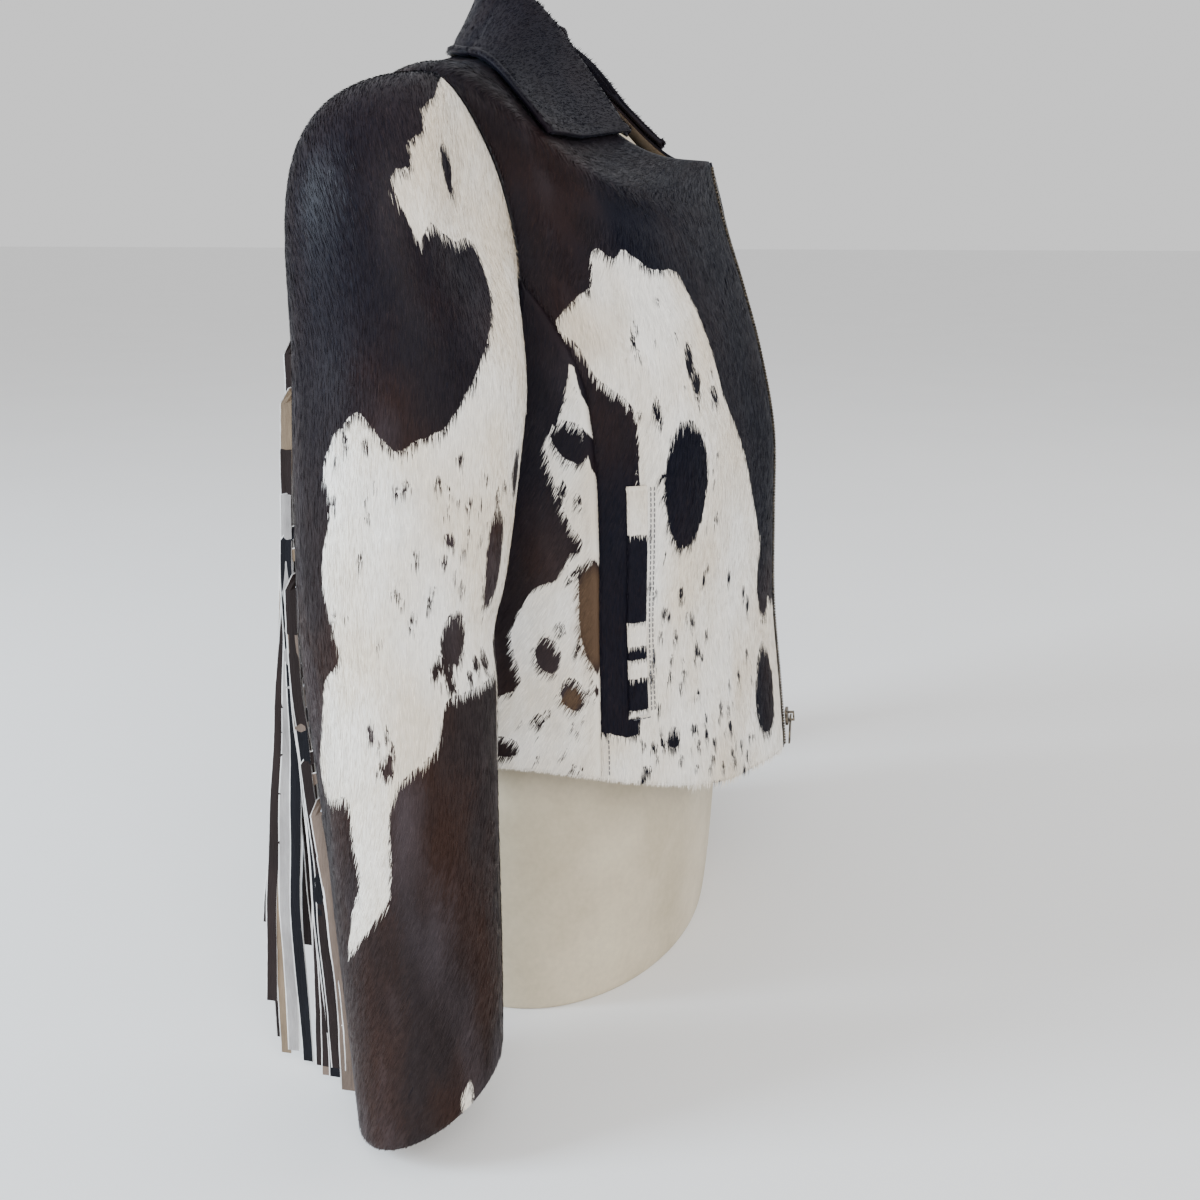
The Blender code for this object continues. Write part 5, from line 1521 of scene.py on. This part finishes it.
def tooth(centre, out, facing, waist):
    """The corners of one tooth, which narrows towards the zip's middle."""
    rise = unit(np.cross(np.array([1.0, 0.0, 0.0]), facing))
    rise = rise if rise[2] > 0 else -rise
    return np.array([
        centre + out * x + facing * depth + rise * z * TOOTH_HEIGHT
        for x, half in ((ZIP_INNER, 0.30), (ZIP_INNER + 0.0005, 0.5), (waist + 0.0004, 0.42))
        for depth in (-ZIP_THICKNESS * 0.5, ZIP_THICKNESS * 0.30)
        for z in (-half, half)
    ])


def tooth_faces(first):
    """The faces of one tooth, whose twelve corners start at a number."""
    faces = []
    for a in (first, first + 4):
        b = a + 4
        faces += [(a, a + 1, b + 1, b), (a + 2, b + 2, b + 3, a + 3)]
        faces += [(a, b, b + 2, a + 2), (a + 1, a + 3, b + 3, b + 1)]
    return faces + [(first, first + 2, first + 3, first + 1), (first + 8, first + 9, first + 11, first + 10)]


def zip_side(name, side, metal, tape):
    """One side of the open zip: a strip of tape with its row of separate teeth."""
    rows = np.linspace(0.0, NECK_ROW - ZIP_BELOW_NECK, ZIP_ROWS)
    middle, normal = body(np.zeros_like(rows), rows), body_normal(np.zeros_like(rows), rows)
    length = arc_lengths(middle[:, None], 0)[:, 0]
    out = np.array([side, 0.0, 0.0])
    waist = ZIP_INNER + (ZIP_OUTER - ZIP_INNER) * TAPE_SHARE
    bottom = -ZIP_THICKNESS * 0.6
    profile = ((waist, -0.0003), (ZIP_OUTER, -0.0004), (ZIP_OUTER, bottom), (waist, bottom))
    rings = np.stack([middle + out * x + normal * d for x, d in profile], 1)
    vertices, faces = [rings.reshape(-1, 3)], tube_faces(len(rows), 4)
    kinds = [1] * len(faces)
    first_tooth = 0.002 + (0.0 if side > 0 else TOOTH_PITCH / 2)
    for at in np.arange(first_tooth, length[-1] - 0.001, TOOTH_PITCH):
        faces += tooth_faces(sum(map(len, vertices)))
        vertices.append(tooth(between(at, length, middle), out, unit(between(at, length, normal)), waist))
        kinds += [0] * 10
    made = mesh_object(name, np.concatenate(vertices), faces, [metal, tape], kinds, smooth_faces=False)
    face_outward(made)
    return made


def face_outward(made):
    """Turns every closed island's faces outward."""
    build = bmesh.new()
    build.from_mesh(made.data)
    bmesh.ops.recalc_face_normals(build, faces=build.faces)
    build.to_mesh(made.data)
    build.free()


def form_rows():
    """The dress form's rings: its own below the bust, then the jacket's, less the wearing ease."""
    rows = list(FORM_SECTIONS)
    for name, z_front, z_side, z_back, half_width, front, back, y_side, lift, _ in BODY_SECTIONS:
        if name not in FORM_SHARED:
            continue
        drop = FORM_SHOULDER_EASE * float(smooth((z_side - 0.50) / 0.07))
        rows.append((
            name, z_front - drop * 0.5, z_side - drop, z_back - drop,
            half_width - FORM_EASE, front - FORM_EASE * 1.6, back - FORM_EASE,
            y_side, lift, 0.0,
        ))
    return rows + list(FORM_NECK)


def dress_form(material):
    """The dress form as one smooth closed shell with a flat underside."""
    rows = form_rows()
    at = np.linspace(0.0, len(rows) - 1, FORM_RINGS)[:, None]
    deg = -360.0 * np.arange(FORM_PLACES)[None, :] / FORM_PLACES
    at, deg = np.broadcast_arrays(at, deg)
    points = ring_point(section(rows, at), deg)
    faces = tube_faces(FORM_RINGS, FORM_PLACES)
    made = mesh_object("dress_form_shell", points.reshape(-1, 3), faces, [material])
    face_outward(made)
    made.data.set_sharp_from_angle(angle=math.radians(50.0))
    return made


def aim(made, place, ahead):
    """Puts a light or a camera at a place, looking ahead."""
    made.location = place
    made.rotation_mode = "QUATERNION"
    made.rotation_quaternion = ahead.to_track_quat("-Z", "Y")


def area_light(name, place, size, power, colour):
    """A soft rectangular light."""
    data = bpy.data.lights.new(name, "AREA")
    data.shape = "RECTANGLE"
    data.size, data.size_y = size
    data.energy = power
    data.color = colour
    aim(placed(name, data), place, Vector(LIGHT_AIM) - Vector(place))


def studio():
    """A plain pale floor and surroundings, and soft light like that of the photograph."""
    mesh = bpy.data.meshes.new("floor")
    corners = [(x * FLOOR_HALF, y * FLOOR_HALF, 0.0) for x, y in ((-1, -1), (1, -1), (1, 1), (-1, 1))]
    mesh.from_pydata(corners, [], [(0, 1, 2, 3)])
    floor = placed("floor", mesh)
    n = Nodes("pale floor", 0.9)
    n.colour(n.tint(FLOOR_COLOUR, n.mapped(n.noise(object_place(n), 3.0), 0.3, 0.7, 0.98, 1.0)))
    mesh.materials.append(n.material)
    world = bpy.data.worlds.new("studio")
    world.use_nodes = True
    world.node_tree.nodes["Background"].inputs["Color"].default_value = (1.0, 1.0, 1.0, 1.0)
    world.node_tree.nodes["Background"].inputs["Strength"].default_value = WORLD_STRENGTH
    bpy.context.scene.world = world
    for light in LIGHTS:
        area_light(*light)


def camera():
    """The camera that was fitted to the photograph."""
    data = bpy.data.cameras.new("camera")
    data.lens, data.sensor_width, data.sensor_height = CAMERA_LENS, SENSOR, SENSOR
    data.sensor_fit = "HORIZONTAL"
    data.clip_start, data.clip_end = CAMERA_CLIP
    made = placed("camera", data)
    heading, down = math.radians(CAMERA_HEADING), math.radians(CAMERA_DOWN)
    ahead = Vector((math.cos(heading) * math.cos(down), math.sin(heading) * math.cos(down), -math.sin(down)))
    aim(made, CAMERA_PLACE, ahead)
    bpy.context.scene.camera = made


def put(piece, stands_for=None):
    """Rides a piece on the jacket, and hides the solid that it stands for."""
    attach(piece, "jacket_on_form")
    if stands_for:
        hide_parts(stands_for)


def dress(panel, brown_of, density, length=HAIR_LENGTH, inside=None):
    """A panel's shell and hair, which ride on the jacket and stand for its solid."""
    panel.brown_of = brown_of
    white, tan = panel.coat_of(panel.across, panel.up)
    panel.fields = {"white": white, "tan": tan, "brown": brown_of(panel.across, panel.up)}
    shell = hide_shell(panel, [COWHIDE, inside or FLESH_SIDE])
    tufts = hair(panel, COWHIDE, density, length)
    put(shell, panel.name)
    put(tufts)
    width, height, area = panel.cut()


COWHIDE, FLESH_SIDE, METAL, TAPE = hide_material(), flesh_material(), metal_material(), tape_material()
STRIPS, SHELL, THREAD = strip_material(), form_material(), thread_material()
SEAM_LINE = seam_line()
BACK_SEAM, FRONT_SEAM = SLEEVE_BACK_SEAM_DEG, SLEEVE_FRONT_SEAM_DEG
SIDE_BROWN = brown_down(0.25, 0.50, 3.8 * BODY_ROW, 1.5 * BODY_ROW)
BACK_BROWN = brown_down(0.35, 0.45, 4.5 * BODY_ROW, 3.0 * BODY_ROW)
SLEEVE_BROWN = brown_down(0.18, 0.72, -0.06, 0.26)
COLLAR_BROWN = brown_down(0.08, 0.0, 0.0, 1.0)

put(dress_form(SHELL), "dress_form")

for side_name, is_left in (("right", False), ("left", True)):
    density = HIDDEN_DENSITY if is_left else HAIR_DENSITY
    dress(front_panel("front_" + side_name, is_left), front_brown, density)
    dress(side_panel("side_panel_" + side_name, is_left), SIDE_BROWN, density)
    top = sleeve_panel("top_sleeve_" + side_name, BACK_SEAM - 360.0, FRONT_SEAM, TOP_PLACES, is_left)
    dress(top, SLEEVE_BROWN, density)
    under = sleeve_panel("under_sleeve_" + side_name, FRONT_SEAM, BACK_SEAM, UNDER_PLACES, is_left)
    dress(under, SLEEVE_BROWN, HIDDEN_DENSITY)
    strips = fringe("sleeve_fringe_%s_strips" % side_name, is_left, STRIPS)
    put(strips, "sleeve_fringe_" + side_name)
    teeth = zip_side("zip_teeth_" + side_name, 1.0 if is_left else -1.0, METAL, TAPE)
    put(teeth, "zip_row_" + side_name)
    put(armhole_seam("armhole_seam_" + side_name, is_left, TAPE))
    put(stitching("stitches_" + side_name, is_left, THREAD))
    dress(welt_panel("pocket_welt_" + side_name, is_left), front_brown, density, WELT_HAIR_LENGTH)
dress(back_panel("back"), BACK_BROWN, HIDDEN_DENSITY)
dress(collar_panel(), COLLAR_BROWN, HAIR_DENSITY, COLLAR_HAIR_LENGTH, COWHIDE)

for name in ("zip_slider", "zip_pull"):
    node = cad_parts[name]
    node.data.materials.clear()
    node.data.materials.append(METAL)
    bevel = node.modifiers.new("Rounded edges", "BEVEL")
    bevel.width, bevel.segments, bevel.limit_method = METAL_BEVEL, 2, "ANGLE"

studio()
camera()
bpy.context.view_layer.update()
